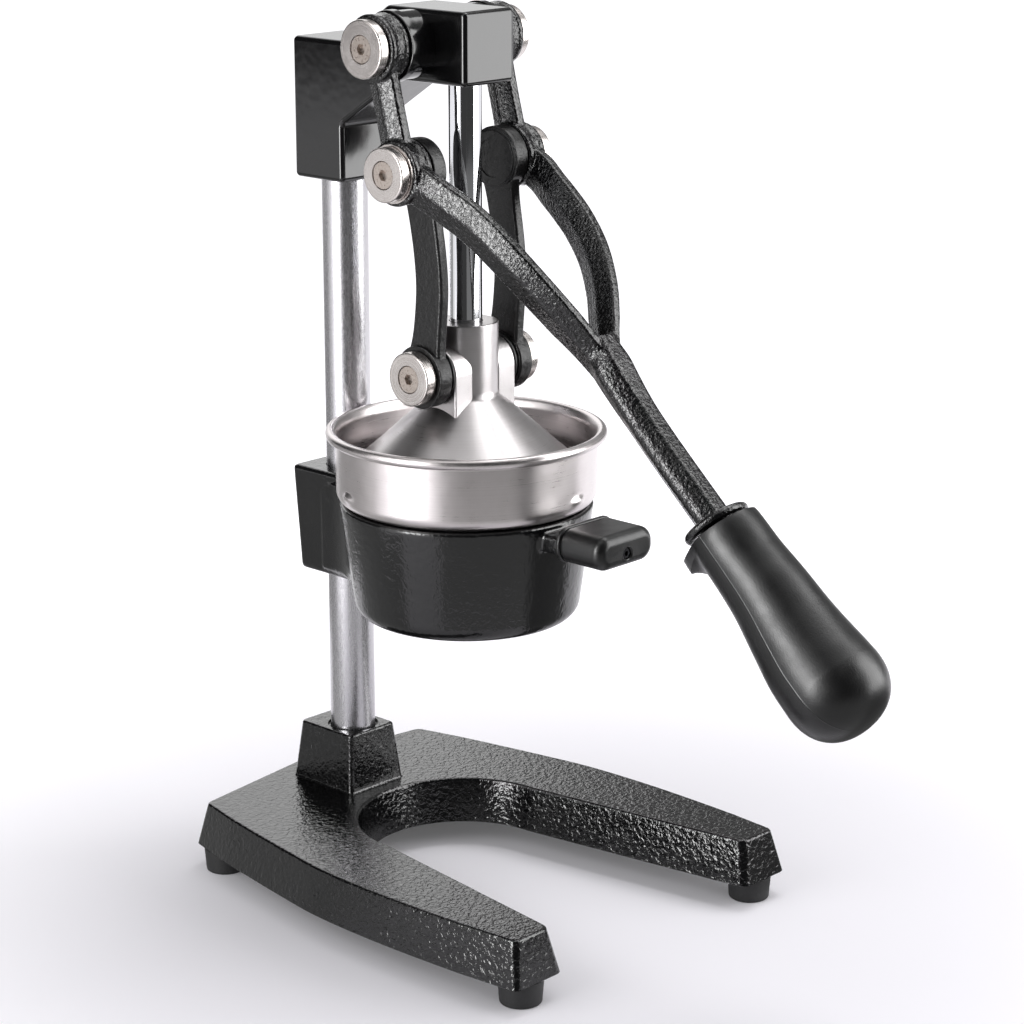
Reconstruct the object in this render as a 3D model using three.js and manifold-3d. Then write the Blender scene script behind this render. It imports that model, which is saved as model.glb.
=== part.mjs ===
// Lever citrus juice press, a reusable assembly
// Units are millimetres, +Z is up and the front of the press faces -Y.
// The press axis (guide rod, bell, pan and bowl) is drawn at X = 0, Y = 0; the
// whole set is centred on its own footprint at the end of the file.
import * as THREE from 'three';
import { mergeVertices } from 'three/addons/utils/BufferGeometryUtils.js';
import Module from 'manifold-3d';

const wasm = await Module();
wasm.setup();

// Fits and facets
const fit_gap = 0.3; // clear gap round a pin, in a bore or between stacked faces
const cut_over = 1.0; // how far a cutting shape runs past the face that it opens
const big_round_facets = 48;
const mid_round_facets = 28;
const small_round_facets = 20;
const pin_facets = 12;
const hex_sides = 6;
const corner_steps = 3; // facets in a rounded corner
const small_corner_steps = 1;
const gap_round_facets = 18;

// Base casting, a U open to the front
const base_underside = 12.6;
const base_height = 22.9;
const base_top = base_underside + base_height;
const base_draft = 5.0; // how far the foot of the wall stands outside its top
const base_edge_round = 1.6;
const base_wall = 4.5;
const base_deck = 5.0;
const prong_front = -123.6;
const prong_front_outer = 95.6;
const prong_front_inner = 72.4;
const prong_corner_round = 2.2;
const base_widest = 100.6;
const base_side_run = [ // outer edge of one side, front to rear
  [98.0, -100.0], [99.8, -69.0], [base_widest, -32.0], [99.0, 5.0], [94.8, 33.0], [90.0, 60.0], [84.5, 88.0],
];
const base_rear_corner = [78.0, 114.5];
const base_rear_corner_round = 3.0;
const base_rear_middle = 126.0;
const gap_round_radius = 54.0; // the round inner end of the U
const gap_round_centre = 4.0;

// Post, and the tapered socket that holds it
const post_axis = 85.0; // distance behind the press axis
const post_radius = 11.7;
const post_foot_rise = 18.9; // above the underside of the base
const post_foot = base_underside + post_foot_rise;
const socket_height = 31.0;
const socket_top = base_top + socket_height;
const socket_top_half_width = 16.0;
const socket_top_front = 70.0;
const socket_top_rear = 108.5;
const socket_foot_half_width = 19.0;
const socket_foot_front = 67.6;
const socket_foot_rear = 113.5;
const socket_corner_round = 2.5;
const socket_seat_depth = 1.2;
const socket_seat_radius = 13.4;
const post_bolt_head_radius = 7.5;
const post_bolt_head_height = 5.0;
const post_bolt_radius = 4.0;
const post_bolt_reach = 22.0; // how far the bolt runs up into the post
const post_bolt_boss_radius = 17.0;
const post_bolt_recess = 7.4; // how far the boss stops above the underside
const post_bolt_boss_foot = base_underside + post_bolt_recess;

// Rubber feet
const foot_front = -117.2;
const foot_rear = 105.3;
const foot_front_offset = 85.4;
const foot_rear_offset = 73.8;
const foot_ground_radius = 10.3;
const foot_top_radius = 11.2;
const foot_top = base_underside - fit_gap;
const foot_spigot_radius = 6.0; // let into the underside of the boss
const foot_spigot_height = 4.2;
const foot_spigot_top = foot_top + foot_spigot_height;
const foot_boss_radius = 10.4;
const foot_edge_round = 1.2;
const foot_screw_head_radius = 4.2;
const foot_screw_head_seat = 3.5;
const foot_screw_head_height = 2.4;
const foot_screw_radius = 2.2;
const foot_screw_hold = 10.5; // thread in the boss above the spigot
const foot_screw_top = foot_spigot_top + foot_screw_hold;

// Pivots, seen from the side as [Y, Z]
const trunnion_pivot = [18.9, 431.6];
const middle_pivot = [3.9, 373.8];
const bell_pivot = [0.9, 273.3];

// Head casting
const head_half_width = 17.2;
const head_edge_round = 1.6;
const head_front = -16.8;
const head_over_pivot = 17.3; // top of the head above the trunnion
const head_top = trunnion_pivot[1] + head_over_pivot;
const head_front_height = 35.4;
const head_front_underside = head_top - head_front_height;
const head_step_front = 36.0; // where the top starts to slope down to the rear block
const head_step_rear = 65.0;
const head_step_drop = 19.6;
const head_rear_top = head_top - head_step_drop;
const head_rear = 103.4;
const head_rear_height = 70.6;
const head_rear_underside = head_rear_top - head_rear_height;
const head_rear_block_front = 68.6;
const head_gusset_rise = 29.3; // where the gusset meets the rear block, above its underside
const head_gusset_top = head_rear_underside + head_gusset_rise;
const head_gusset_front = 28.5;
const head_corner_round = 2.6;
const post_cover = 8.3; // metal of the head above the post
const post_top = head_rear_top - post_cover;

// Pivot pins
const pin_radius = 6.0;
const trunnion_boss_radius = 17.2;
const trunnion_boss_end = 33.1;
const trunnion_pin_root = 12.0;

// Guide rod
const rod_radius = 8.1;
const rod_cover = 8.9; // metal of the head above the rod
const rod_top = head_top - rod_cover;
const rod_below_pivot = 10.3; // the rod ends inside the bell's neck, just below the lug's pivot
const rod_foot = bell_pivot[1] - rod_below_pivot;
const rod_end_round = 1.0;

// Lever casting: two cranks and two arms that join in one stem
const eye_inner = 33.4; // the eyes of the lever stand between these two X places
const eye_outer = 45.1;
const eye_round = 1.0;
const trunnion_eye_radius = 16.2;
const middle_eye_radius = 15.9;
const arm_half_height = 9.8;
const arm_edge_half_width = 2.4; // the flat along the upper and lower edge of an arm
const arm_half_width = 5.3;
const arm_ridge = 0.6; // height of the side ridge above the middle of the section
const crank_half_height = 8.7;
const arm_path = [ // X, Y, Z of the middle of one arm from its eye to the stem
  [39.2, 3.9, 373.8], [39.2, -12.5, 367.0], [36.0, -24.5, 360.2], [33.4, -35.2, 353.9], [31.2, -45.8, 346.2],
  [26.8, -59.5, 333.5], [20.0, -71.0, 319.6], [12.8, -79.2, 307.4], [5.8, -87.4, 295.0], [2.0, -97.4, 283.0],
];
const arm_stations = 14;
const stem_path = [ // Y, Z of the middle of the stem
  [-86.5, 299.5], [-95.0, 288.6], [-107.5, 274.3], [-123.6, 258.2], [-150.1, 233.8], [-162.6, 222.6],
];
const stem_stations = 9;
const stem_half_height = 7.8;
const stem_half_width = 9.2;
const stem_flat_half_width = 4.6;
const stem_side_half_height = 2.0;
const stem_root_half_height = 8.6; // the stem is deeper where the arms join
const stem_root_half_width = 10.4;
const stem_root_flat = 7.0;
const stem_root_share = 0.45; // share of the stem over which it thins
const collar_radius = 16.8;
const collar_thickness = 4.4;
const collar_centre = [-160.6, 224.4];
const handle_slope = THREE.MathUtils.degToRad(47.0); // how far the grip points below level
const tang_radius = 6.0;
const tang_length = 58.0;

// Moulded grip on the lever
const grip_path = [ // Y, Z, radius along the grip
  [-164.6, 222.7, 17.6], [-167.4, 220.4, 18.1], [-179.5, 209.4, 18.5], [-193.6, 196.8, 19.9],
  [-207.4, 182.6, 22.1], [-219.2, 171.2, 24.3], [-229.8, 162.5, 25.3], [-238.6, 155.8, 24.0],
  [-244.6, 151.4, 19.4], [-248.8, 148.6, 13.2],
];
const grip_tip = [-250.6, 147.0];
const grip_stations = 16;
const grip_side_share = 0.97; // the grip is a little narrower in X than it is deep
const grip_tip_rings = [ // share of the way to the tip, and how far past it, for the last two rings
  [0.55, 1.3], [0.97, 2.0],
];
const grip_facets = 28;
const guard_reach = 26.6; // how far the finger guard stands from the middle of the grip
const guard_half_width = 10.5;
const guard_thickness = 11.5;
const guard_round = 3.6;
const guard_offset = 5.6;
const guard_start = 0.2;
const guard_rise = 2.5; // where the guard stands out furthest
const guard_tail_half_width = 9.1;
const guard_tail_reach = 18.7;
const guard_corner_share = 0.8; // corner radius as a share of the guard's half width

// Links from the lever to the bell
const link_inner = 22.8;
const link_outer = 30.5;
const link_boss_outer = 32.5; // the eyes are thicker than the plate between them
const link_half_width = 8.9;
const link_upper_eye = 15.6;
const link_lower_eye = 15.4;
const link_edge_round = 0.9;
const link_path = [[3.9, 373.8], [0.4, 353.0], [-2.8, 334.0], [-4.1, 318.0], [-2.8, 299.0], [0.9, 273.3]];
const link_stations = 14;
const link_waist_power = 6; // how late the waist opens into the eyes
const eye_arc_facets = 9;
const link_bush_depth = 6.0;

// Pivot hardware
const trunnion_cap_radius = 14.0;
const cap_radius = 13.2;
const trunnion_cap_thickness = 5.6;
const middle_cap_thickness = 5.6;
const bell_cap_thickness = 6.6;
const cap_edge_round = 0.7;
const washer_radius = 14.2;
const washer_thickness = 0.8;
const screw_head_radius = 6.7;
const screw_head_depth = 3.0;
const screw_rim_share = 0.15; // share of the head's depth that is a plain rim
const screw_sink = 0.4; // the screw head stands this far below the face of the cap
const screw_radius = 3.0;
const screw_reach = 14.0;
const hex_socket_across = 5.0;
const hex_socket_depth = 2.2;
const bell_spacer_outer = 22.5;
const bell_spacer_inner = 21.4;
const bell_spacer_radius = 14.4;

// Sizes that the pan, the bowl, the bell and the reamer share
const pan_wall_radius = 65.0;
const pan_sheet = 1.2;
const bowl_below_pivot = 67.3; // top of the bowl below the lug's pivot, lever down
const bowl_top = bell_pivot[1] - bowl_below_pivot;

// Bell, a cast cone that slides on the guide rod
const neck_radius = 16.0;
const neck_below_pivot = 13.7; // foot of the neck below the lug's pivot
const neck_foot = bell_pivot[1] - neck_below_pivot;
const neck_height = 37.4;
const neck_top = neck_foot + neck_height;
const neck_edge_round = 1.0;
const bell_clearance = 7.8; // between the bell's rim and the pan
const bell_rim_radius = pan_wall_radius - pan_sheet - bell_clearance;
const bell_shoulder_inset = 6.6;
const bell_shoulder = bell_rim_radius - bell_shoulder_inset;
const bell_cone_drop = 28.6; // from the foot of the neck to the shoulder
const bell_shoulder_height = neck_foot - bell_cone_drop;
const bell_rim_drop = 6.4;
const bell_rim_top = bell_shoulder_height - bell_rim_drop;
const bell_rim_band = 6.2;
const bell_rim_foot = bell_rim_top - bell_rim_band;
const bell_wall = 4.6;
const bell_roof = 8.1; // metal between the neck's foot and the hollow
const bell_inner_top = neck_foot - bell_roof;
const bell_inner_top_radius = 11.5;
const bell_shoulder_wall = 6.1; // thickness of the shoulder, measured straight down
const bell_inner_shoulder_height = bell_shoulder_height - bell_shoulder_wall;
const lug_outer = 21.1;
const lug_inner = 9.0;
const lug_half_width = 13.4;
const lug_root_depth = 15.6; // how far the lug runs down into the cone
const lug_foot = neck_foot - lug_root_depth;
const lug_edge_round = 0.8;

// Pan, spun sheet with a rolled rim, standing on the top of the bowl
const pan_floor = bowl_top + fit_gap;
const pan_height = 34.7; // from its floor to the middle of the roll
const pan_roll_out = 2.4; // middle of the roll, outside the wall
const pan_rim_radius = pan_wall_radius + pan_roll_out;
const pan_rim_height = pan_floor + pan_height;
const pan_roll = 2.6;
const pan_corner = 6.0;
const pan_step_inset = 9.5;
const pan_step_radius = pan_wall_radius - pan_step_inset;
const pan_step_depth = 3.9;
const pan_step_floor = pan_floor - pan_step_depth;
const pan_step_ease = 1.5; // the step's lower corner, in sheet thicknesses
const pan_step_inner_ease = 2.2;
const pan_roll_facets = 6;
const pan_roll_start = THREE.MathUtils.degToRad(-111.6);
const pan_roll_turn = THREE.MathUtils.degToRad(270.0);
const pan_wall_lap = 1.2; // the wall meets the roll this many roll radii below its middle
const pan_wall_inner_lap = 0.6;
const pan_ledge = 11.9; // width of the ring that carries the reamer
const pan_drain_inner = pan_step_radius - pan_ledge;
const dimple_count = 3;
const dimple_radius = 3.2;
const dimple_rise = 1.4;
const dimple_above_floor = 8.3;
const dimple_height = pan_floor + dimple_above_floor;
const dimple_turn = THREE.MathUtils.degToRad(-79.0);

// Reamer cone, ribbed and slotted
const reamer_clearance = 6.0; // between the flange and the step
const reamer_flange_radius = pan_step_radius - reamer_clearance;
const reamer_flange_thickness = 2.0;
const reamer_foot = pan_step_floor + pan_sheet + fit_gap;
const reamer_flange_width = 11.5;
const reamer_root_radius = reamer_flange_radius - reamer_flange_width;
const reamer_root_rise = 2.7;
const reamer_root_height = reamer_foot + reamer_root_rise;
const reamer_tip_radius = 5.0;
const reamer_height = 36.1;
const reamer_tip_height = reamer_foot + reamer_height;
const reamer_wall = 2.6;
const reamer_rib_count = 12;
const reamer_rib_height = 3.0;
const reamer_rib_thickness = 2.4;
const reamer_slot_count = 24;
const reamer_slot_width = 1.8;
const reamer_slot_margin = 2.7;
const reamer_slot_length = 6.4;
const reamer_slot_outer = reamer_flange_radius - reamer_slot_margin;
const reamer_slot_inner = reamer_slot_outer - reamer_slot_length;
const reamer_skin_share = 1.4; // wall measured along the slope, in wall thicknesses
const reamer_tip_share = 0.8; // height of the dome as a share of its radius
const reamer_rib_lap = 1.0; // how far a rib runs into the cone
const reamer_rib_crest_share = 0.6; // width of a rib's crest at the tip, against its root

// Bowl and clamp block, one casting
const bowl_wall = 4.0;
const bowl_clearance = 4.1; // between the bowl's wall and the pan's step
const bowl_top_radius = pan_step_radius + bowl_clearance + bowl_wall;
const bowl_height = 58.7;
const bowl_foot = bowl_top - bowl_height;
const bowl_taper = 6.6;
const bowl_foot_radius = bowl_top_radius - bowl_taper;
const bowl_corner = 9.0;
const bowl_lip = 1.2;
const bowl_floor_rise = 6.7; // edge of the floor above the foot
const bowl_floor = bowl_foot + bowl_floor_rise;
const bowl_funnel_rise = 3.1;
const bowl_funnel_floor = bowl_foot + bowl_funnel_rise;
const bowl_funnel_inset = 10.0;
const bowl_funnel_radius = bowl_foot_radius - bowl_funnel_inset;
const spout_radius = 11.0;
const spout_bore = 8.0;
const spout_drop = 5.5;
const spout_foot = bowl_foot - spout_drop;
const clamp_half_width = 21.0;
const clamp_front = 66.0; // clear of the pan's wall
const clamp_rear = 106.0;
const clamp_draft = 3.4;
const clamp_foot_rise = 6.3;
const clamp_foot = bowl_foot + clamp_foot_rise;
const clamp_foot_half_width = 19.4;
const clamp_over_bowl = 3.0;
const clamp_top = bowl_top + clamp_over_bowl;
const clamp_round = 2.5;
const web_foot_rise = 9.2;
const web_foot = bowl_foot + web_foot_rise;
const web_below_top = 1.5;
const web_top = bowl_top - web_below_top;
const web_front = 42.0;
const web_front_half_width = 40.0;
const web_rear = 84.0;
const web_waist = 62.0;
const web_waist_half_width = 20.0;
const clamp_screw_drop = 25.0;
const clamp_screw_height = bowl_top - clamp_screw_drop;

// Tab and grip on the front of the bowl
const tab_half_width = 12.0;
const tab_root = -52.0;
const tab_end = -96.0;
const tab_drop = 12.6;
const tab_thickness = 8.8;
const tab_foot = bowl_top - tab_drop;
const tab_top = tab_foot + tab_thickness;
const tab_round = 1.0;
const knob_half_width = 20.2;
const knob_rear = -78.2;
const knob_front = -106.8;
const knob_below_tab = 1.4;
const knob_height = 18.0;
const knob_foot = tab_foot - knob_below_tab;
const knob_top = knob_foot + knob_height;
const knob_screw_rise = 7.0;
const knob_screw_height = knob_foot + knob_screw_rise;
const knob_side_round = 7.6;
const knob_edge_round = 3.0;
const knob_screw_radius = 3.6;
const knob_screw_head_height = 2.6;
const knob_screw_sink = 2.0;
const knob_screw_shank = 1.8;
const knob_screw_reach = 20.0;

// Set screws that hold the post and the rod
const set_screw_radius = 3.6;
const set_screw_length = 5.3;
const set_screw_sink = 0.6;
const head_set_screw_rises = [17.3, 51.3]; // above the underside of the rear block
const head_set_screw_heights = head_set_screw_rises.map((rise) => head_rear_underside + rise);
const set_screw_hex = 3.4;
const set_screw_hex_depth = 2.4;

// Materials
const paint = (hex, roughness) => new THREE.MeshStandardMaterial({ color: hex, roughness, metalness: 0.0 });
const metal = (hex, roughness) => new THREE.MeshStandardMaterial({ color: hex, roughness, metalness: 1.0 });
const hammered_black = paint(0x17171a, 0.3);
const gloss_black = paint(0x141416, 0.16);
const satin_black = paint(0x1c1b1d, 0.42);
const grip_black = paint(0x1d1d1f, 0.38);
const rubber_black = paint(0x151515, 0.8);
const chrome = metal(0xd9dadd, 0.08);
const brushed_steel = metal(0xb9b8ba, 0.28);
const turned_steel = metal(0xc4bdb9, 0.3);
const screw_steel = metal(0xb9aca2, 0.34);
const cast_aluminium = metal(0xb4b2b2, 0.36);
const spun_steel = metal(0xcac6c6, 0.2);

// Axis changes: a lathe turns about Y, and its work is stood on Z or laid along X
const lathe_to_z = new THREE.Matrix4().makeRotationX(Math.PI / 2);
const lathe_to_x = new THREE.Matrix4().makeRotationZ(-Math.PI / 2);

// Solids: every three.js geometry becomes a manifold before it is joined or cut
function solid(geometry) {
  const bare = new THREE.BufferGeometry();
  bare.setAttribute('position', geometry.getAttribute('position'));
  bare.setIndex(geometry.getIndex());
  const merged = mergeVertices(bare, 1e-4);
  const mesh = new wasm.Mesh({
    numProp: 3,
    vertProperties: new Float32Array(merged.getAttribute('position').array),
    triVerts: new Uint32Array(merged.getIndex().array),
  });
  mesh.merge();
  return new wasm.Manifold(mesh);
}

function geometry_of(manifold) {
  const mesh = manifold.getMesh();
  const geometry = new THREE.BufferGeometry();
  geometry.setAttribute('position', new THREE.BufferAttribute(new Float32Array(mesh.vertProperties), 3));
  geometry.setIndex(new THREE.BufferAttribute(new Uint32Array(mesh.triVerts), 1));
  geometry.computeVertexNormals();
  return geometry;
}

const joined = (list) => list.reduce((all, next) => all.add(next));
const cut = (body, list) => list.reduce((rest, next) => rest.subtract(next), body);

// Polygon helpers: a corner is [x, y, radius]
function rounded_outline(corners, steps = corner_steps) {
  const points = [];
  corners.forEach((corner, i) => {
    const before = corners[(i + corners.length - 1) % corners.length];
    const after = corners[(i + 1) % corners.length];
    const here = new THREE.Vector2(corner[0], corner[1]);
    const radius = corner[2] ?? 0;
    if (radius === 0) {
      points.push(here);
      return;
    }
    const back = new THREE.Vector2(before[0], before[1]).sub(here).normalize();
    const on = new THREE.Vector2(after[0], after[1]).sub(here).normalize();
    const half = Math.acos(THREE.MathUtils.clamp(back.dot(on), -1, 1)) / 2;
    const run = radius / Math.tan(half);
    const middle = back.clone().add(on).normalize().multiplyScalar(radius / Math.sin(half)).add(here);
    const start = back.clone().multiplyScalar(run).add(here).sub(middle);
    const end = on.clone().multiplyScalar(run).add(here).sub(middle);
    const first = Math.atan2(start.y, start.x);
    let sweep = Math.atan2(end.y, end.x) - first;
    sweep = Math.atan2(Math.sin(sweep), Math.cos(sweep));
    for (let k = 0; k <= steps; k += 1) {
      const angle = first + (sweep * k) / steps;
      const around = new THREE.Vector2(Math.cos(angle), Math.sin(angle)).multiplyScalar(radius);
      points.push(around.add(middle));
    }
  });
  return points;
}

// Moves an outline out along its own normals; a negative distance moves it in
const mitre_limit = 0.3; // keeps a very sharp corner from running away
function offset_outline(points, distance) {
  return points.map((here, i) => {
    const before = points[(i + points.length - 1) % points.length];
    const after = points[(i + 1) % points.length];
    const a = here.clone().sub(before).normalize();
    const b = after.clone().sub(here).normalize();
    const normal = new THREE.Vector2(a.y + b.y, -a.x - b.x).normalize();
    const stretch = Math.max(normal.dot(new THREE.Vector2(a.y, -a.x)), mitre_limit);
    return here.clone().addScaledVector(normal, distance / stretch);
  });
}

// A loft through rings with equal numbers of points, closed by flat ends
function loft(rings, flat) {
  const count = rings[0].length;
  const positions = rings.flat().flatMap((p) => [p.x, p.y, p.z]);
  const index = [];
  for (let r = 0; r + 1 < rings.length; r += 1) {
    for (let i = 0; i < count; i += 1) {
      const j = (i + 1) % count;
      const [a, b, c, d] = [r * count + i, r * count + j, (r + 1) * count + j, (r + 1) * count + i];
      index.push(a, b, c, a, c, d);
    }
  }
  const end = (rings.length - 1) * count;
  const faces = THREE.ShapeUtils.triangulateShape(flat, []);
  faces.forEach(([a, b, c]) => {
    index.push(a, c, b);
    index.push(end + a, end + b, end + c);
  });
  const geometry = new THREE.BufferGeometry();
  geometry.setAttribute('position', new THREE.Float32BufferAttribute(positions, 3));
  geometry.setIndex(index);
  return geometry;
}

// Turns a closed loft right side out when its rings run the other way
function outward(geometry) {
  const p = geometry.getAttribute('position');
  const idx = geometry.getIndex().array;
  let volume = 0;
  const [a, b, c] = [new THREE.Vector3(), new THREE.Vector3(), new THREE.Vector3()];
  for (let i = 0; i < idx.length; i += 3) {
    a.fromBufferAttribute(p, idx[i]);
    b.fromBufferAttribute(p, idx[i + 1]);
    c.fromBufferAttribute(p, idx[i + 2]);
    volume += a.dot(b.cross(c));
  }
  if (volume < 0) {
    for (let i = 0; i < idx.length; i += 3) {
      [idx[i + 1], idx[i + 2]] = [idx[i + 2], idx[i + 1]];
    }
  }
  return geometry;
}

// A loft upwards: each level is [outline, height]
function stacked(levels) {
  const rings = levels.map(([points, z]) => points.map((p) => new THREE.Vector3(p.x, p.y, z)));
  return solid(loft(rings, levels[0][0]));
}

// A plate between two planes, its edges eased by a rounding that steps in at both faces
function plate(points, start, end, edge_round, place) {
  const outline = THREE.ShapeUtils.isClockWise(points) ? points.slice().reverse() : points;
  const levels = [];
  const steps = edge_round > 0 ? small_corner_steps : 0;
  for (let k = 0; k <= steps; k += 1) {
    const angle = steps > 0 ? (Math.PI / 2) * (k / steps) : 0;
    levels.push([edge_round * (1 - Math.sin(angle)), edge_round * (1 - Math.cos(angle))]);
  }
  const low = levels.map(([inset, rise]) => [inset, start + rise]);
  const high = levels.map(([inset, rise]) => [inset, end - rise]).reverse();
  const rings = [...low, ...high].map(
    ([inset, level]) => offset_outline(outline, -inset).map((p) => place(p, level)));
  return solid(outward(loft(rings, offset_outline(outline, -levels[0][0]))));
}

// Drawn from the side in Y, Z with its thickness along X, or from the front with it along Y
const side_plate = (points, from_x, to_x, edge_round = 0) => plate(points, from_x, to_x, edge_round,
  (p, x) => new THREE.Vector3(x, p.x, p.y));
const front_plate = (points, from_y, to_y, edge_round = 0) => plate(points, from_y, to_y, edge_round,
  (p, y) => new THREE.Vector3(p.x, y, p.y));

// A turned piece: the profile is [radius, place along the axis]
function turned(profile, facets, matrix = lathe_to_z) {
  const points = profile.map(([r, z]) => new THREE.Vector2(r, z));
  const geometry = new THREE.LatheGeometry(points, facets);
  geometry.applyMatrix4(matrix);
  return solid(geometry);
}

// A round bar with eased ends, along X at a pivot or along Z at a place
function bar_profile(radius, start, end, ease = 0) {
  if (ease === 0) {
    return [[0, start], [radius, start], [radius, end], [0, end]];
  }
  return [
    [0, start], [radius - ease, start], [radius, start + ease],
    [radius, end - ease], [radius - ease, end], [0, end],
  ];
}
function bar_x(radius, start, end, pivot, facets = small_round_facets, ease = 0) {
  const profile = bar_profile(radius, start, end, ease);
  return turned(profile, facets, lathe_to_x).translate([0, pivot[0], pivot[1]]);
}
function bar_z(radius, start, end, at = [0, 0], facets = small_round_facets, ease = 0) {
  return turned(bar_profile(radius, start, end, ease), facets).translate([at[0], at[1], 0]);
}
function bar_y(radius, start, end, at, facets = small_round_facets) {
  const geometry = new THREE.CylinderGeometry(radius, radius, end - start, facets);
  geometry.translate(0, (start + end) / 2, 0);
  return solid(geometry).translate([at[0], 0, at[1]]);
}
function block(from, to) {
  const size = to.map((v, i) => v - from[i]);
  const geometry = new THREE.BoxGeometry(...size);
  geometry.translate(...to.map((v, i) => (v + from[i]) / 2));
  return solid(geometry);
}
const mirrored = (body) => body.mirror([1, 0, 0]);

const group = new THREE.Group();
group.name = 'lever_citrus_press';
function add(name, body, material) {
  const mesh = new THREE.Mesh(geometry_of(body), material);
  mesh.name = name;
  group.add(mesh);
}

// Base casting: a drafted U, hollow underneath, with the post socket on its deck
function base_outline(distance) {
  const right = [
    [prong_front_inner, prong_front, prong_corner_round],
    [prong_front_outer, prong_front, prong_corner_round],
    ...base_side_run,
    [...base_rear_corner, base_rear_corner_round],
    [0, base_rear_middle],
  ];
  const left = right.slice(0, -1).reverse().map(([x, y, r]) => [-x, y, r]);
  const inner_end = [];
  for (let k = 0; k <= gap_round_facets; k += 1) {
    const angle = Math.PI - (Math.PI * k) / gap_round_facets;
    inner_end.push([
      gap_round_radius * Math.cos(angle), gap_round_centre + gap_round_radius * Math.sin(angle)]);
  }
  const corners = [...right, ...left, ...inner_end];
  const moved = offset_outline(corners.map(([x, y]) => new THREE.Vector2(x, y)), distance);
  return rounded_outline(moved.map((p, i) => [p.x, p.y, corners[i][2]]), small_corner_steps + 1);
}
const rectangle = (x0, x1, y0, y1, round) => rounded_outline(
  [[x0, y0, round], [x1, y0, round], [x1, y1, round], [x0, y1, round]]);
const foot_places = [
  ['front_left', -foot_front_offset, foot_front], ['front_right', foot_front_offset, foot_front],
  ['rear_left', -foot_rear_offset, foot_rear], ['rear_right', foot_rear_offset, foot_rear],
];

const base_slope = base_draft / (base_top - base_underside);
const shell = stacked([
  [base_outline(base_draft), base_underside],
  [base_outline(base_edge_round * base_slope), base_top - base_edge_round],
  [base_outline(-base_edge_round / 2), base_top],
]);
const base_hollow = stacked([
  [base_outline(base_draft - base_wall), base_underside - cut_over],
  [base_outline(-base_wall), base_top - base_deck],
]);
const deck_middle = base_top - base_deck / 2;
const socket_plan = (half_width, front, rear) => rectangle(
  -half_width, half_width, front, rear, socket_corner_round);
const socket = stacked([
  [socket_plan(socket_foot_half_width, socket_foot_front, socket_foot_rear), deck_middle],
  [socket_plan(socket_top_half_width, socket_top_front, socket_top_rear), socket_top],
]);
const post_place = [0, post_axis];
const base_core = joined([
  cut(shell, [base_hollow]),
  socket,
  bar_z(post_bolt_boss_radius, post_bolt_boss_foot, deck_middle, post_place),
  ...foot_places.map(([, x, y]) => bar_z(foot_boss_radius, base_underside, deck_middle, [x, y])),
]);
const foot_bores = foot_places.flatMap(([, x, y]) => [
  bar_z(foot_spigot_radius + fit_gap, base_underside - cut_over, foot_spigot_top + fit_gap, [x, y]),
  bar_z(foot_screw_radius + fit_gap, foot_spigot_top, foot_screw_top + fit_gap, [x, y], pin_facets),
]);
const base = cut(base_core, [
  bar_z(post_radius + fit_gap, post_foot - fit_gap, socket_top + cut_over, post_place, mid_round_facets),
  bar_z(socket_seat_radius, socket_top - socket_seat_depth, socket_top + cut_over, post_place,
    mid_round_facets),
  bar_z(post_bolt_radius + fit_gap, base_underside - cut_over, post_foot + cut_over, post_place, pin_facets),
  ...foot_bores,
]);
add('base_casting', base, hammered_black);

// Feet: tapered rubber pads, each with a screw up its middle
foot_places.forEach(([name, x, y]) => {
  const pad = turned([
    [0, 0], [foot_ground_radius - foot_edge_round, 0], [foot_ground_radius, foot_edge_round],
    [foot_top_radius, foot_top], [foot_spigot_radius, foot_top], [foot_spigot_radius, foot_spigot_top],
    [0, foot_spigot_top],
  ], small_round_facets).translate([x, y, 0]);
  const seat = foot_screw_head_seat;
  const pocket_top = seat + foot_screw_head_height + fit_gap;
  const pocket = bar_z(foot_screw_head_radius + fit_gap, -cut_over, pocket_top, [x, y], pin_facets);
  const hole = bar_z(foot_screw_radius + fit_gap, seat, foot_spigot_top + cut_over, [x, y], pin_facets);
  add(`foot_${name}`, cut(pad, [pocket, hole]), rubber_black);
  const screw = joined([
    bar_z(foot_screw_head_radius, seat, seat + foot_screw_head_height, [x, y], pin_facets),
    bar_z(foot_screw_radius, seat + foot_screw_head_height / 2, foot_screw_top, [x, y], pin_facets),
  ]);
  add(`foot_screw_${name}`, screw, screw_steel);
});

// Post, a plain tube closed at both ends by what holds it
const post_bolt_end = post_foot + post_bolt_reach;
const post_bolt_hole = bar_z(
  post_bolt_radius + fit_gap, post_foot - cut_over, post_bolt_end + fit_gap, post_place, pin_facets);
const post_bar = bar_z(post_radius, post_foot, post_top, post_place, mid_round_facets, rod_end_round / 2);
const post = cut(post_bar, [post_bolt_hole]);
add('rear_post', post, brushed_steel);
const post_bolt_seat = post_bolt_boss_foot - fit_gap;
const post_bolt = joined([
  bar_z(post_bolt_head_radius, post_bolt_seat - post_bolt_head_height, post_bolt_seat, post_place,
    hex_sides),
  bar_z(post_bolt_radius, post_bolt_seat - post_bolt_head_height / 2, post_bolt_end, post_place, pin_facets),
]);
add('post_bolt', post_bolt, screw_steel);

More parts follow.
